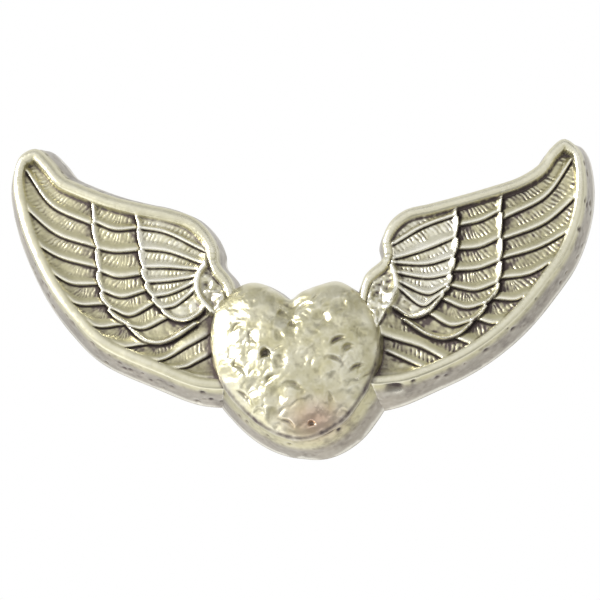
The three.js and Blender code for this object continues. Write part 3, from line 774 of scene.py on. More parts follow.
def mirrored(obj):
    """Turns the object over to the other side of the middle, faces still outwards."""
    obj.data.transform(Matrix.Diagonal((-1, 1, 1, 1)))
    obj.data.flip_normals()


def heart_ring():
    return closed_curve(HEART_OUTLINE, 0.16)


def heart_rear(outline):
    """The heart's rear outline: steeper round the top, wider at the lower right."""
    normals = outward(outline)
    steep = smoothstep(-0.2, 0.7, normals[:, 1]) * HEART_TOP_STEEP
    lower_right = smoothstep(0.5, 0.95, normals @ np.array(HEART_LOW_TOWARDS))
    return outline + normals * (DRAUGHT * (1 - steep + HEART_LOW_EXTRA * lower_right))[:, None]


def wing_rear(outline, upper_steep, root_width):
    """A wing's rear outline: the wall is steeper on its upper and inner sides."""
    normals = outward(outline)
    root = root_width * bell(outline[:, 0] - ROOT_AT, ROOT_SPREAD) * smoothstep(0.2, 0.8, -normals[:, 1])
    steep = INNER_STEEP + (upper_steep - INNER_STEEP) * smoothstep(*SHOULDER_END, outline[:, 0])
    steep = steep * smoothstep(0, 0.6, normals[:, 1] - 0.9 * normals[:, 0])
    return outline + normals * (DRAUGHT * (1 - steep + root))[:, None]


def heart_cutter():
    """The heart's outer form, larger by the hairline seam."""
    front = offset_outline(resample(heart_ring(), 0.3, True), SEAM)
    rear = heart_rear(front)
    rings = [(rear, BACK - GAP), (front, EDGE)]
    for scale, rise in ((0.93, 0.35), (0.8, 0.62), (0.6, 0.84), (0.35, 0.96)):
        rings.append((HEART_CENTRE + (front - HEART_CENTRE) * scale, EDGE + (DOME - EDGE) * rise + GAP))
    return loft("heart_cutter", rings)


def make_wing(name, layout, sign, seed, pits):
    """A wing casting, hollow at the back, with a tongue that runs under the heart."""
    wing = Wing(layout, sign, seed)
    boundary, inner = wing.front()
    rear = wing_rear(boundary, layout["upper_steep"], layout["root_width"])
    rings = wall_rings(boundary, rear, seed + 30, np.vstack([pits, wall_pits(boundary, seed, 60)]))
    obj = casting(name, (boundary, inner), rings, lambda points: wing.survey(points)[0])
    floor = closed_curve(POCKET_OUTLINE, 0.4)
    pocket = loft("pocket", [(offset_outline(floor, POCKET_DRAUGHT), BACK - GAP), (floor, POCKET_FLOOR)])
    combine(obj, pocket, "DIFFERENCE")
    if sign < 0:
        mirrored(obj)
    combine(obj, heart_cutter(), "DIFFERENCE")
    combine(obj, post("boss", BOSS, sign * OUTER_RIVET, 0, -POCKET_FLOOR - 0.4, -BACK), "UNION")
    ends = sorted((sign * TONGUE_TIP, sign * TONGUE_ROOT))
    tongue = block(
        "tongue", (ends[0], -BACK - TONGUE_THICK, -TONGUE_HALF), (ends[1], -BACK, TONGUE_HALF)
    )
    combine(obj, tongue, "UNION")
    for x in (OUTER_RIVET, INNER_RIVET):
        combine(obj, post("hole", RIVET_HOLE, sign * x, 0, -3.2, 0), "DIFFERENCE")

    def finish_at(points):
        _, soot, highlight_share = wing.survey(points[:, [0, 2]] * (sign, 1))
        return soot, highlight_share

    node = name.replace("_casting", "")
    outline = counter_clockwise(wing.coarse * (sign, 1))
    finish_casting(obj, node, outline, EDGE - 0.4, finish_at)


# ---- Heart ------------------------------------------------------------------------------------

def wall_pits(outline, seed, count):
    """Shallow casting pits scattered over a side wall: x, z, height, radius, depth."""
    rng = np.random.default_rng(seed)
    at = rng.integers(0, len(outline), count)
    share = rng.uniform(0.1, 0.85, count)
    spots = outline[at] + outward(outline)[at] * (DRAUGHT * share)[:, None]
    heights = EDGE + (BACK - EDGE) * share
    return np.column_stack([
        spots, heights, rng.uniform(0.16, 0.42, count), rng.uniform(0.08, 0.3, count)
    ])


# Deep pits and gouges: x, z, half length, half width, turn in degrees, depth, one-sidedness.
HEART_GOUGES = [
    (-4.1, -5.6, 0.62, 0.5, 10, 0.95, 0), (-7.8, -2.1, 0.75, 0.4, 35, 0.4, 0.5),
    (6.3, -5.2, 0.75, 0.45, 30, 0.5, 0.3), (5.1, -4.2, 0.95, 0.35, 25, 0.42, 0.5),
    (4.9, -6.7, 1.0, 0.28, -25, 0.35, 0.4), (-7.3, -7.5, 1.05, 0.38, -40, 0.5, 0.8),
    (7.3, -7.7, 0.95, 0.32, 25, 0.5, 0.8), (1.5, -14.6, 0.5, 0.3, 15, 0.5, 0),
    (-1.5, -14.5, 1.05, 0.4, -30, 0.5, 0.9), (5.6, -13.3, 0.7, 0.5, 0, 0.35, 0.6),
    (-6.9, -11, 1.25, 0.3, -45, 0.42, 0.7), (-5, -12.9, 0.7, 0.5, 0, 0.3, 0.7),
    (-0.5, -9.9, 1.1, 0.45, -15, 0.4, 0.6), (-3.5, -8.9, 0.8, 0.35, 35, 0.35, 0.6),
    (4.1, -11.6, 0.35, 0.8, 15, 0.3, 0.3), (0.9, 0.3, 0.9, 0.35, 25, 0.45, 0.6),
    (-1.9, -0.5, 0.6, 0.5, 0, 0.35, 0.2), (-0.7, -2, 0.5, 0.45, 0, 0.35, 0.2),
    (1.5, -11.8, 0.7, 0.6, 0, 0.25, 0.3), (-2.3, -3.4, 0.5, 0.8, 20, 0.3, 0.4),
    (-5.9, -3.6, 0.4, 0.8, 20, 0.3, 0.4), (6.8, -9.7, 0.9, 0.4, 20, 0.25, 0.5),
]

# Round hammer dents: x, z, radius, depth.
HEART_DENTS = [
    (3.1, -1.5, 1.05, 0.42), (5.5, 0.2, 0.95, 0.36), (2.2, -2.6, 0.8, 0.25), (7.9, -2.6, 1.1, 0.16),
    (-9.2, -3.8, 1.2, 0.12), (-6.1, -5.6, 1.0, 0.2), (-8.4, -5.4, 0.9, 0.16), (2.9, -5.5, 1.0, 0.2),
    (0.4, -6.8, 0.9, 0.26), (-2.1, -6.8, 0.8, 0.26), (2.2, -8.8, 0.9, 0.24), (-5.3, -9.9, 1.1, 0.22),
    (-2.7, -11.2, 1.1, 0.26), (4.6, -9.3, 0.9, 0.2), (-3.2, -13.4, 0.9, 0.2), (3.1, -13.2, 1.2, 0.16),
    (7.3, -11, 0.8, 0.14), (-9.3, -8.1, 0.9, 0.16), (9, -5, 0.8, 0.16), (-4.4, -0.6, 1.2, 0.1),
]


def small_gouges(count):
    """Seeded small gouges all over the heart, in the same columns as HEART_GOUGES."""
    rng = np.random.default_rng(5)
    limits = ((-11, 10), (-16, 3), (0.35, 1.0), (0.14, 0.4), (10, 80), (0.04, 0.12), (0.2, 0.9))
    return np.column_stack([rng.uniform(low, high, count) for low, high in limits]).tolist()


def gouge(x, z, half_length, half_width, turned, slant):
    """Depth of a bent groove at x, z from its middle, 1 at its deepest; slant makes it one-sided."""
    angle = math.radians(turned)
    u = (x * math.cos(angle) + z * math.sin(angle)) / half_length
    v = (z * math.cos(angle) - x * math.sin(angle)) / half_width
    v = v + 0.5 * u * u
    r = np.sqrt(u * u + v * v)
    return np.exp(-r ** 3) * (1 - slant * smoothstep(1, -1.2, v))


def heart_relief(outline):
    """The heart's relief as a function of points: dome, valley, dents, gouges and hammering."""
    off = outline - HEART_CENTRE
    turn = np.arctan2(off[:, 1], off[:, 0])
    order = np.argsort(turn)
    turn, reach = turn[order], np.linalg.norm(off, axis=1)[order]
    valley = spline([(-0.9, 4), (-1.1, 1.2), (-1.5, -0.6), (-0.6, -2.6), (0.6, -4.6), (1.6, -6.5)])
    gouges = HEART_GOUGES + small_gouges(150)

    def relief(points):
        x, z = points.T
        away = points - HEART_CENTRE
        limit = np.interp(np.arctan2(away[:, 1], away[:, 0]), turn, reach, period=2 * np.pi)
        t = np.clip(np.linalg.norm(away, axis=1) / limit, 0, 1)
        height = EDGE + (DOME - EDGE) * np.clip(1 - t ** 2.6, 0, 1) ** 0.58
        gap, side, arc, _ = near(points, valley)
        spread = np.where(side > 0, 1.9, 1.1) * (0.7 + 0.12 * arc)
        height -= 1.25 * bell(gap, spread) * smoothstep(9.5, 1.5, arc) * smoothstep(1, 0.8, t)
        for dx, dz, radius, depth in HEART_DENTS:
            height -= depth * np.exp(-(np.hypot(x - dx, z - dz) / radius) ** 4)
        for dx, dz, half_length, half_width, turned, depth, slant in gouges:
            height -= depth * gouge(x - dx, z - dz, half_length, half_width, turned, slant)
        streaked = points @ np.array([[0.8, -0.5], [0.55, 0.95]])
        hammer = 0.13 * noise(streaked, 2.1, 71) + 0.085 * noise(streaked, 1.0, 72)
        hammer += 0.05 * noise(points, 0.55, 73) + 0.02 * noise(points, 0.28, 74)
        return height + hammer * smoothstep(1, 0.82, t)

    return relief


def heart_finish(points):
    """Tarnish and painted highlight of the heart: dark specks and painted highlight patches at random, and
    painted shade along the lower edge of the face.
    """
    flat = points[:, [0, 2]]
    soot = 0.06 + 0.14 * noise(flat, 1.7, 81) + 0.15 * noise(flat, 0.5, 82)
    highlight_share = 0.15 + 0.3 * noise(flat, 1.2, 83)
    gap, side, _, _ = near(flat, resample(heart_ring(), 0.4, True), True)
    lower = smoothstep(-2, -9, flat[:, 1])
    # Painted shade: a dark line just inside the lower edge of the face, for a groove there that is not
    # modelled.
    soot = soot + 0.75 * bell(gap * side - 0.3, 0.3) * lower
    return np.clip(soot, 0, 1), np.clip(highlight_share, 0, 1)


def make_heart():
    """The heart casting, hollow at the back, with slots for the wings' tongues."""
    boundary = heart_ring()
    normals = outward(boundary)
    rings = [boundary - normals * d for d in (0.03, 0.08, 0.15, 0.25, 0.36, 0.5)]
    coarse = resample(boundary, 0.4, True)
    grid = hex_grid(boundary.min(0), boundary.max(0), GRID)
    distance, side, _, _ = near(grid, coarse, True)
    grid = grid[distance * side > 0.6]
    wall = wall_rings(boundary, heart_rear(boundary), 90, wall_pits(boundary, 8, 24))
    obj = casting("heart_casting", (boundary, np.vstack(rings + [grid])), wall, heart_relief(boundary))
    rough = resample(boundary, 0.5, True)
    pocket = [(offset_outline(rough, DRAUGHT - HEART_WALL), BACK - GAP)]
    for scale, height in ((0.84, HEART_POCKET_FLOOR - 0.5), (0.76, HEART_POCKET_FLOOR)):
        pocket.append((HEART_CENTRE + (rough - HEART_CENTRE) * scale, height))
    pocket = loft("pocket", pocket)
    combine(obj, pocket, "DIFFERENCE")
    slot_front = BACK + TONGUE_THICK + GAP
    for sign in (-1, 1):
        combine(obj, post("boss", BOSS, sign * INNER_RIVET, 0, -6.4, -slot_front), "UNION")
        combine(obj, post("hole", RIVET_HOLE, sign * INNER_RIVET, 0, -4.4, -slot_front + GAP), "DIFFERENCE")
        ends = sorted((sign * 5, sign * 16))
        half = TONGUE_HALF + GAP
        combine(obj, block("slot", (ends[0], -slot_front, -half), (ends[1], 0, half)), "DIFFERENCE")
    finish_casting(obj, "heart", coarse, EDGE - 1.5, heart_finish)


# ---- Tarnish, painted shade and painted highlights --------------------------------------------

FRONT_FROM = 4.9  # the relief lies above this height, the hollow backs below it
REFLECTION_AT = (2.0, -7.8, -14.2)  # where a pinkish reflection is painted on the heart
REFLECTION_SPREAD = (3.4, 4.0, 2.3)


def hollow(mesh, rounds):
    """How far each vertex lies below the smoothed surface round it, in millimetres."""
    co = vertices_mm(mesh)
    count = len(co)
    normal = np.empty(count * 3)
    mesh.vertex_normals.foreach_get("vector", normal)
    edges = np.empty(len(mesh.edges) * 2, int)
    mesh.edges.foreach_get("vertices", edges)
    a, b = edges.reshape(-1, 2).T
    degree = np.bincount(a, minlength=count) + np.bincount(b, minlength=count)
    smooth = co.copy()
    for _ in range(rounds):
        total = np.zeros_like(smooth)
        for k in range(3):
            total[:, k] = np.bincount(a, smooth[b, k], count) + np.bincount(b, smooth[a, k], count)
        smooth = smooth * 0.4 + total / np.maximum(degree, 1)[:, None] * 0.6
    return ((smooth - co) * normal.reshape(-1, 3)).sum(1)


def store(mesh, **values):
    """Keeps one number for each vertex under each name, for the material to read."""
    for name, numbers in values.items():
        layer = mesh.attributes.new(name, "FLOAT", "POINT")
        layer.data.foreach_set("value", np.asarray(numbers, np.float32))


def hand_over(obj, node, slot, body, sharp_degrees):
    """Shading and material of a finished piece; hides the CAD piece it replaces and puts it under its body.
    """
    obj.data.shade_smooth()
    obj.data.set_sharp_from_angle(angle=math.radians(sharp_degrees))
    obj.data.materials.clear()
    obj.data.materials.append(METALS[slot])
    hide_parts(node)
    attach(obj, body)


def finish_casting(obj, node, outline, face_from, finish_at):
    """Tarnish, painted shade and painted highlights of a casting, then its shading and material; hides the
    CAD piece and puts the casting under its body.

    face_from is the relief height above which the metal has the warmer tone of the front.
    """
    co = vertices_mm(obj.data)
    gap, side, _, _ = near(co[:, [0, 2]], outline, True)
    inside = gap * side
    front = smoothstep(-0.1, 0.1, inside) * (co[:, 1] < -FRONT_FROM)
    soot, highlight_share = np.zeros((2, len(co)))
    mask = front > 0
    soot[mask], highlight_share[mask] = finish_at(co[mask])
    fine = hollow(obj.data, 8) / 0.07
    broad = hollow(obj.data, 60) / 0.35
    worn = 0.17 + 0.2 * noise(co, 2.6, 41) + 0.22 * noise(co, 0.8, 42) + 0.12 * noise(co, 0.3, 43)
    soot = soot * front + worn * (1 - front)
    # Darker in hollows below the smoothed surface: tarnish and painted shade.
    soot = soot + 0.4 * np.clip(fine, 0, 1.2) + 0.25 * np.clip(broad, -0.5, 1)
    # Painted highlights on bumps and edges that stand above the smoothed surface.
    highlight_share = highlight_share * front + 0.5 * np.clip(-fine, 0, 1.2)
    # The back and its hollows: darker towards the floors of the pockets.
    rear = (front == 0) & ((inside > 0.25) | (co[:, 1] > -BACK - 0.05))
    soot = np.where(rear, 0.2 + 0.35 * smoothstep(1.5, 4, -co[:, 1]), soot)
    store(
        obj.data,
        soot=np.clip(soot, 0, 1),
        polish=np.clip(np.where(rear, 0, highlight_share), 0, 1),
        # Painted pinkish reflection, low on the heart.
        copper=np.exp(-(np.linalg.norm((co - REFLECTION_AT) / REFLECTION_SPREAD, axis=1)) ** 2),
        face=smoothstep(face_from - 1.6, face_from, -co[:, 1]),
    )
    hand_over(obj, node, "antique_silver", "badge", 75)


# ---- Materials --------------------------------------------------------------------------------

def new_material(name):
    material = bpy.data.materials.new(name)
    material.use_nodes = True
    tree = material.node_tree
    return material, tree, tree.nodes["Principled BSDF"]


def add_node(tree, kind, **settings):
    """A new node; settings are socket values or properties of the node."""
    node = tree.nodes.new(kind)
    for key, value in settings.items():
        if key in node.inputs:
            node.inputs[key].default_value = value
        else:
            setattr(node, key, value)
    return node


def attribute(tree, name):
    return add_node(tree, "ShaderNodeAttribute", attribute_name=name).outputs["Fac"]


def ramp(tree, source, *stops):
    node = tree.nodes.new("ShaderNodeValToRGB")
    for element, (place, colour) in zip(node.color_ramp.elements, stops):
        element.position = place
        element.color = (*colour, 1)
    tree.links.new(source, node.inputs["Fac"])
    return node.outputs["Color"]


def feed(tree, socket, value):
    """Sets a socket to a number or colour, or links another node's output to it."""
    if isinstance(value, (int, float)):
        socket.default_value = value
    elif isinstance(value, tuple):
        socket.default_value = (*value, 1)
    else:
        tree.links.new(value, socket)


def maths(tree, operation, a, b):
    node = add_node(tree, "ShaderNodeMath", operation=operation)
    feed(tree, node.inputs[0], a)
    feed(tree, node.inputs[1], b)
    return node.outputs[0]


def mix_colour(tree, factor, a, b):
    node = add_node(tree, "ShaderNodeMix", data_type="RGBA")
    tree.links.new(factor, node.inputs["Factor"])
    feed(tree, node.inputs[6], a)
    feed(tree, node.inputs[7], b)
    return node.outputs[2]


def speckle(tree, scale, detail=3.0):
    """Noise fixed to the piece."""
    node = add_node(tree, "ShaderNodeTexNoise", Scale=scale, Detail=detail, Roughness=0.55)
    place = tree.nodes.new("ShaderNodeTexCoord").outputs["Object"]
    tree.links.new(place, node.inputs["Vector"])
    return node.outputs["Fac"]


def add_bump(tree, shader, height, strength, distance):
    bump = add_node(tree, "ShaderNodeBump", Strength=strength, Distance=distance)
    tree.links.new(height, bump.inputs["Height"])
    tree.links.new(bump.outputs["Normal"], shader.inputs["Normal"])


BLACK, WHITE = (0, 0, 0), (1, 1, 1)
KHAKI = ((0.46, 0.43, 0.265), (0.57, 0.535, 0.35))  # the warm tone of the front
GREY = ((0.27, 0.245, 0.2), (0.38, 0.345, 0.29))  # the tone of the side walls
# Colour of the painted highlights.
HIGHLIGHT_TINT = (0.88, 0.86, 0.76)
# Tint of the painted pinkish reflection.
REFLECTION_TINT = (0.56, 0.38, 0.3)
# Colour of the tarnish and of the painted shade in the hollows.
TARNISH_AND_SHADE_TINT = (0.085, 0.066, 0.062)


def make_antique_silver():
    """Cast silver: warm and satin on the high places with painted highlights; purple-brown tarnish and
    painted shade in the low ones, and a painted pinkish reflection on the heart.
    """
    material, tree, shader = new_material("antique_silver")
    soot, polish = attribute(tree, "soot"), attribute(tree, "polish")
    broad, fine = speckle(tree, 260), speckle(tree, 1800, 4)
    low = maths(tree, "ADD", soot, maths(tree, "MULTIPLY", maths(tree, "SUBTRACT", fine, 0.5), 0.5))
    tarnish_shade_mix = ramp(tree, low, (0.12, BLACK), (0.85, WHITE))
    khaki, grey = (ramp(tree, broad, (0.3, dark), (0.7, light)) for dark, light in (KHAKI, GREY))
    metal = mix_colour(tree, attribute(tree, "face"), grey, khaki)
    # Painted highlights, then the painted pinkish reflection, then tarnish and painted shade over the metal's
    # tone.
    metal = mix_colour(tree, polish, metal, HIGHLIGHT_TINT)
    metal = mix_colour(tree, maths(tree, "MULTIPLY", attribute(tree, "copper"), 0.75), metal, REFLECTION_TINT)
    tree.links.new(mix_colour(tree, tarnish_shade_mix, metal, TARNISH_AND_SHADE_TINT), shader.inputs["Base Color"])
    rough = maths(tree, "ADD", maths(tree, "MULTIPLY", tarnish_shade_mix, 0.25), maths(tree, "MULTIPLY", broad, 0.2))
    rough = maths(tree, "SUBTRACT", rough, maths(tree, "MULTIPLY", polish, 0.1))
    tree.links.new(maths(tree, "ADD", rough, 0.24), shader.inputs["Roughness"])
    sheen = maths(tree, "SUBTRACT", 1.0, maths(tree, "MULTIPLY", tarnish_shade_mix, 0.4))
    tree.links.new(sheen, shader.inputs["Metallic"])
    add_bump(tree, shader, fine, 0.3, 0.00004)
    return material


def make_plain_metal(name, light, dark, roughness, scale):
    """Satin worked metal with fine unevenness and light tarnish."""
    material, tree, shader = new_material(name)
    broad, fine = speckle(tree, scale), speckle(tree, scale * 9, 4)
    tree.links.new(ramp(tree, broad, (0.35, dark), (0.65, light)), shader.inputs["Base Color"])
    shader.inputs["Metallic"].default_value = 1
    wear = maths(tree, "ADD", maths(tree, "MULTIPLY", fine, 0.18), roughness)
    tree.links.new(wear, shader.inputs["Roughness"])
    add_bump(tree, shader, fine, 0.15, 0.00002)
    return material


METALS = {"antique_silver": make_antique_silver()}
for name, light, dark, roughness, scale in (
    ("nickel_silver", (0.68, 0.66, 0.6), (0.5, 0.48, 0.42), 0.24, 300),
    ("spring_steel", (0.72, 0.73, 0.74), (0.58, 0.59, 0.6), 0.14, 400),
    ("rivet_brass", (0.72, 0.53, 0.26), (0.45, 0.32, 0.15), 0.26, 350),
):
    METALS[name] = make_plain_metal(name, light, dark, roughness, scale)


# ---- Bar, rivets, hinge and catch --------------------------------------------------------------

BAR_LENGTH, BAR_HEIGHT, BAR_THICK = 54, 5, 0.8
BAR_GROOVES = (4.6, 5.0)
STEM_OUT = 3.0  # distance of the stem's axis behind the bar
HINGE_AT = -23.5
CATCH_AT = 21.0
PLANE_GAP = 0.05  # between a foot or rivet head and the bar
BORE = 0.62  # radius of the hinge's bores
RIVETS = (
    ("rivet_left_outer", -OUTER_RIVET, -3.0),
    ("rivet_left_inner", -INNER_RIVET, -4.2),
    ("rivet_right_inner", INNER_RIVET, -4.2),
    ("rivet_right_outer", OUTER_RIVET, -3.0),
)


def rounded(a0, a1, b0, b1, radius, steps=8):
    """A rectangle with rounded corners."""
    points = []
    for a, b, start in ((a1, b1, 0), (a0, b1, 90), (a0, b0, 180), (a1, b0, 270)):
        ca = a - radius if a == a1 else a + radius
        cb = b - radius if b == b1 else b + radius
        for k in range(steps + 1):
            angle = math.radians(start + 90 * k / steps)
            points.append((ca + radius * math.cos(angle), cb + radius * math.sin(angle)))
    return np.array(points)


def face_outwards(obj):
    """Joins doubled vertices and turns every face outwards."""
    bm = bmesh.new()
    bm.from_mesh(obj.data)
    bmesh.ops.remove_doubles(bm, verts=bm.verts, dist=1e-7)
    bmesh.ops.recalc_face_normals(bm, faces=bm.faces)
    bm.to_mesh(obj.data)
    bm.free()


AXES = {"x": (2, 0, 1), "y": (0, 2, 1), "z": (0, 1, 2)}


def prism(name, outline, low, high, edge, axis):
    """An outline pushed along an axis, its end edges rounded.

    The outline is [y, z] for the x axis, [x, z] for the y axis and [x, y] for the z axis.
    """
    normals = left_normals(outline, True)
    rings = []
    for end, sign in ((low, 1), (high, -1)):
        quarter = [math.radians(d) for d in (0, 22, 45, 68, 90)]
        half = [
            (outline + normals * edge * (1 - math.sin(q)), end + sign * edge * (1 - math.cos(q)))
            for q in quarter
        ]
        rings += half if sign > 0 else half[::-1]
    count = len(outline)
    verts = np.vstack([np.column_stack([o, np.full(count, c)]) for o, c in rings])
    faces = stack_faces(count, len(rings))
    faces += [list(range(count)), list(range(len(verts) - count, len(verts)))]
    obj = make_object(name, verts[:, AXES[axis]], faces)
    face_outwards(obj)
    return obj


def lathe(name, profile, a, b, axis, sides=48):
    """A turned body: profile points are (radius, place along the axis), from end to end."""
    turned = [(r, c) for r, c in profile if r > 0]
    verts = [np.column_stack([circle(r, a, b, sides), np.full(sides, c)]) for r, c in turned]
    verts.append([(a, b, profile[0][1]), (a, b, profile[-1][1])])
    verts = np.vstack(verts)
    faces = stack_faces(sides, len(turned))
    first, last = len(verts) - 2, len(verts) - 1
    for i in range(sides):
        j = (i + 1) % sides
        faces += [[i, j, first], [first - sides + i, first - sides + j, last]]
    obj = make_object(name, verts[:, AXES[axis]], faces)
    face_outwards(obj)
    return obj


def finish_part(obj, node, slot, body):
    """A worked part: flat faces shaded flat, edges above 32 degrees sharp."""
    flat = obj.modifiers.new("flat_faces", "WEIGHTED_NORMAL")
    flat.keep_sharp = True
    hand_over(obj, node, slot, body, 32)


def split_across(obj, places):
    """Divides the faces at these places along X, so that no face goes all round a hole."""
    bm = bmesh.new()
    bm.from_mesh(obj.data)
    for x in places:
        everything = bm.verts[:] + bm.edges[:] + bm.faces[:]
        bmesh.ops.bisect_plane(bm, geom=everything, dist=1e-7, plane_co=(x * MM, 0, 0), plane_no=(1, 0, 0))
    bm.to_mesh(obj.data)
    bm.free()


def make_bar():
    """A strip with round ends, four rivet holes and two shallow grooves across its rear."""
    ends, half = BAR_LENGTH / 2, BAR_HEIGHT / 2
    outline = rounded(-ends, ends, -half, half, half, 24)
    bar = prism("bar_strip", outline, -BAR_THICK, 0, 0.14, "y")
    split_across(bar, [x for _, x, _ in RIVETS])
    for _, x, _ in RIVETS:
        combine(bar, post("hole", RIVET_HOLE, x, 0, -2, 1), "DIFFERENCE")
    near_groove, far_groove = BAR_GROOVES
    for low, high in ((-far_groove, -near_groove), (near_groove, far_groove)):
        combine(bar, block("groove", (low, -0.15, -4), (high, 1, 4)), "DIFFERENCE")
    finish_part(bar, "pin_bar", "nickel_silver", "badge")


def make_rivet(node, x, end, seed):
    """A rivet with a hammered dome."""
    profile = [(0, end), (0.66, end), (0.75, end + 0.1), (0.75, PLANE_GAP), (1.22, PLANE_GAP)]
    profile += [
        (1.3 * math.cos(math.radians(d)), 0.13 + 0.37 * math.sin(math.radians(d)))
        for d in (0, 12, 25, 38, 52, 66, 80)
    ]
    profile.append((0, 0.5))
    rivet = lathe(node + "_metal", profile, x, 0, "y")
    points = vertices_mm(rivet.data)
    dome = points[:, 1] > 0.12
    points[:, 1] += np.where(dome, noise(points, 0.6, seed) * 0.045 - 0.03, 0)
    rivet.data.vertices.foreach_set("co", (points * MM).ravel())
    rivet.data.update()
    finish_part(rivet, node, "rivet_brass", "badge")


def cut_bore(obj):
    """Drills the hinge's bore."""
    combine(obj, prism("bore", circle(BORE, HINGE_AT, STEM_OUT, 40), -3, 3, 0.01, "z"), "DIFFERENCE")


def make_bracket():
    """A U-shaped bracket: a foot and two round-topped ears."""
    foot = rounded(HINGE_AT - 2.2, HINGE_AT + 2.2, -1.5, 1.5, 0.35)
    bracket = prism("bracket_metal", foot, PLANE_GAP, PLANE_GAP + 0.6, 0.1, "y")
    turn = np.radians(np.linspace(0, 180, 25))
    arch = np.stack([HINGE_AT + 1.5 * np.cos(turn), 2.8 + 1.5 * np.sin(turn)], axis=1)
    ear = np.vstack([arch, [(HINGE_AT - 1.5, 0.3), (HINGE_AT + 1.5, 0.3)]])
    for low, high in ((-1.5, -0.9), (0.9, 1.5)):
        combine(bracket, prism("ear", ear, low, high, 0.09, "z"), "UNION")
    cut_bore(bracket)
    finish_part(bracket, "hinge_bracket", "nickel_silver", "badge")


def make_hinge_pin():
    """A cross pin with a round head at both ends."""
    head = [(0.5, 1.55), (0.93, 1.55), (0.95, 1.62), (0.93, 1.74), (0.8, 1.86), (0.5, 1.93), (0, 1.95)]
    profile = [(radius, -place) for radius, place in head[::-1]] + head
    pin = lathe("hinge_pin_metal", profile, HINGE_AT, STEM_OUT, "z", 32)
    finish_part(pin, "hinge_pin", "spring_steel", "badge")


def make_stem():
    """A pointed wire with a flattened, drilled eye."""
    tip, radius = 24.2, 0.45
    stem = prism("stem_metal", circle(1.25, HINGE_AT, STEM_OUT, 56), -0.7, 0.7, 0.22, "z")
    profile = [(0, HINGE_AT + 0.9), (radius, HINGE_AT + 0.9)]
    for k in range(12, 0, -1):
        profile.append((radius * math.sqrt(k / 12) * (0.55 + 0.45 * k / 12), tip - 9 * k / 12))
    profile += [(0.05, tip - 0.06), (0, tip)]
    combine(stem, lathe("wire", profile, STEM_OUT, 0, "x", 32), "UNION")
    cut_bore(stem)
    finish_part(stem, "pin_stem", "spring_steel", "stem")


def make_housing():
    """A slotted tube on a foot."""
    low, high = CATCH_AT - 1.8, CATCH_AT + 1.8
    housing = prism("housing_metal", circle(2.1, STEM_OUT, 0, 72), low, high, 0.12, "x")
    web = rounded(PLANE_GAP, STEM_OUT, -0.9, 0.9, 0.05, 2)
    combine(housing, prism("web", web, low + 0.05, high - 0.05, 0.04, "x"), "UNION")
    foot = rounded(low, high, -1.7, 1.7, 0.3)
    combine(housing, prism("foot", foot, PLANE_GAP, PLANE_GAP + 0.6, 0.1, "y"), "UNION")
    combine(housing, prism("bore", circle(1.52, STEM_OUT, 0, 56), low - 1, high + 1, 0.01, "x"), "DIFFERENCE")
    combine(housing, block("slot", (low - 1, STEM_OUT, -0.75), (high + 1, 7, 0.75)), "DIFFERENCE")
    finish_part(housing, "catch_housing", "nickel_silver", "badge")


def make_rotor():
    """A slotted sleeve between two collars, with a thumb tab on one of them."""
    low, high = CATCH_AT - 1.9, CATCH_AT + 1.9
    rotor = prism("rotor_metal", circle(1.4, STEM_OUT, 0, 56), low - 0.1, high + 0.1, 0.02, "x")
    for start, stop in ((low - 0.7, low), (high, high + 0.7)):
        collar = prism("collar", circle(2.1, STEM_OUT, 0, 72), start, stop, 0.14, "x")
        combine(rotor, collar, "UNION")
    tab = prism("tab", rounded(1.1, 4.4, -0.4, 0.4, 0.32), high + 0.02, high + 0.68, 0.12, "x")
    lean = Matrix.Rotation(math.radians(80), 4, "X")
    tab.data.transform(Matrix.Translation((0, STEM_OUT * MM, 0)) @ lean)
    combine(rotor, tab, "UNION")
    bore = prism("bore", circle(0.78, STEM_OUT, 0, 40), low - 3, high + 3, 0.01, "x")
    combine(rotor, bore, "DIFFERENCE")
    combine(rotor, block("slot", (low - 3, STEM_OUT, -0.65), (high + 3, 7, 0.65)), "DIFFERENCE")
    finish_part(rotor, "catch_rotor", "nickel_silver", "rotor")


# ---- Camera, light and floor --------------------------------------------------------------------

VIEW_AZIMUTH, VIEW_ELEVATION, VIEW_ROLL = 5.0, -10.0, 1.1  # degrees
VIEW_DISTANCE = 186.0
VIEW_TARGET = Vector((0, -3.5, 2.0))


def direction(azimuth, elevation):
    """Unit vector from the object towards a place seen at this azimuth and elevation."""
    a, e = math.radians(azimuth), math.radians(elevation)
    return Vector((math.sin(a) * math.cos(e), -math.cos(a) * math.cos(e), math.sin(e)))


def make_camera():
    data = bpy.data.cameras.new("camera")
    data.lens = 85
    data.sensor_width = 36
    data.clip_start = 0.001
    data.clip_end = 10
    camera = into_scene("camera", data)
    back = direction(VIEW_AZIMUTH, VIEW_ELEVATION)
    turn, roll = math.radians(VIEW_AZIMUTH), math.radians(VIEW_ROLL)
    level = Vector((math.cos(turn), math.sin(turn), 0))
    upright = back.cross(level)
    right = level * math.cos(roll) - upright * math.sin(roll)
    up = back.cross(right)
    pose = Matrix((right, up, back)).transposed().to_4x4()
    pose.translation = (VIEW_TARGET + back * VIEW_DISTANCE) * MM
    camera.matrix_world = pose
    bpy.context.scene.camera = camera


def aim(obj, azimuth, elevation, distance):
    """Puts an object round the set, facing the middle."""
    back = direction(azimuth, elevation)
    obj.location = back * distance
    obj.rotation_euler = back.to_track_quat("Z", "Y").to_euler()


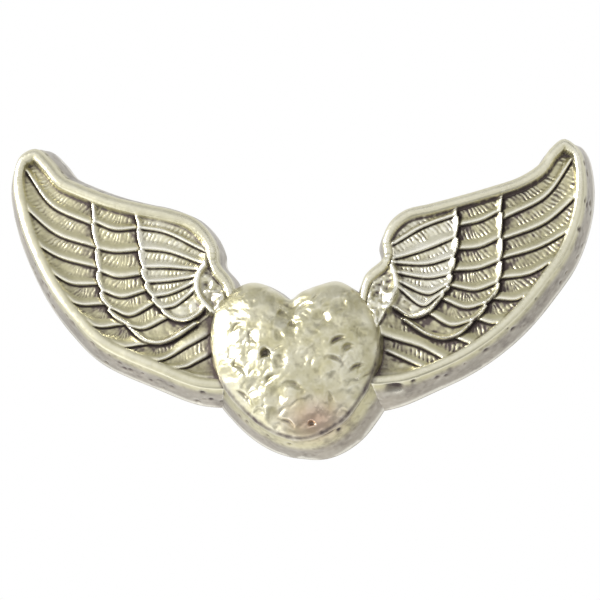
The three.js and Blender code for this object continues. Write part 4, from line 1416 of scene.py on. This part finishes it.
def make_key_light():
    data = bpy.data.lights.new("key", "AREA")
    data.shape = "RECTANGLE"
    data.size, data.size_y = 0.24, 0.2
    data.energy = 3.6
    aim(into_scene("key", data), -62, 12, 0.45)


def grey_panel(name, size, level, tone, roughness):
    """A rectangle of one grey."""
    half_width, half_height = size[0] / 2, size[1] / 2
    mesh = bpy.data.meshes.new(name)
    corners = [(x * half_width, y * half_height, level) for x, y in ((-1, -1), (1, -1), (1, 1), (-1, 1))]
    mesh.from_pydata(corners, [], [(0, 1, 2, 3)])
    material, _, shader = new_material(name)
    shader.inputs["Base Color"].default_value = (tone, tone, tone, 1)
    shader.inputs["Roughness"].default_value = roughness
    mesh.materials.append(material)
    return into_scene(name, mesh)


def shade_card(name, azimuth, elevation, distance, size, tone):
    """A grey card beside the set, seen only as a reflection in the metal."""
    card = grey_panel(name, size, 0, tone, 1)
    aim(card, azimuth, elevation, distance)
    card.visible_camera = False
    card.visible_shadow = False
    card.visible_diffuse = False


def make_world():
    world = bpy.data.worlds.new("studio")
    bpy.context.scene.world = world
    world.use_nodes = True
    background = world.node_tree.nodes["Background"]
    background.inputs["Color"].default_value = (1, 1, 1, 1)
    background.inputs["Strength"].default_value = 1.0


def make_floor():
    """A pale floor well under the badge."""
    floor = grey_panel("floor", (3, 3), -0.25, 0.9, 0.9)


# ---- Build ------------------------------------------------------------------------------------

make_wing("left_wing_casting", LEFT_WING, -1, 3, LEFT_WALL_PITS)
make_wing("right_wing_casting", RIGHT_WING, 1, 11, RIGHT_WALL_PITS)
make_heart()
make_bar()
for number, (node, x, end) in enumerate(RIVETS):
    make_rivet(node, x, end, 50 + number)
make_bracket()
make_hinge_pin()
make_stem()
make_housing()
make_rotor()

make_camera()
make_world()
make_floor()
make_key_light()
shade_card("right_card", 80, 0, 0.5, (0.6, 0.8), 0.58)
shade_card("low_card", 10, -62, 0.22, (0.4, 0.2), 0.38)
shade_card("high_card", 0, 62, 0.5, (1.0, 0.5), 0.5)
bpy.context.scene.view_settings.view_transform = "Standard"
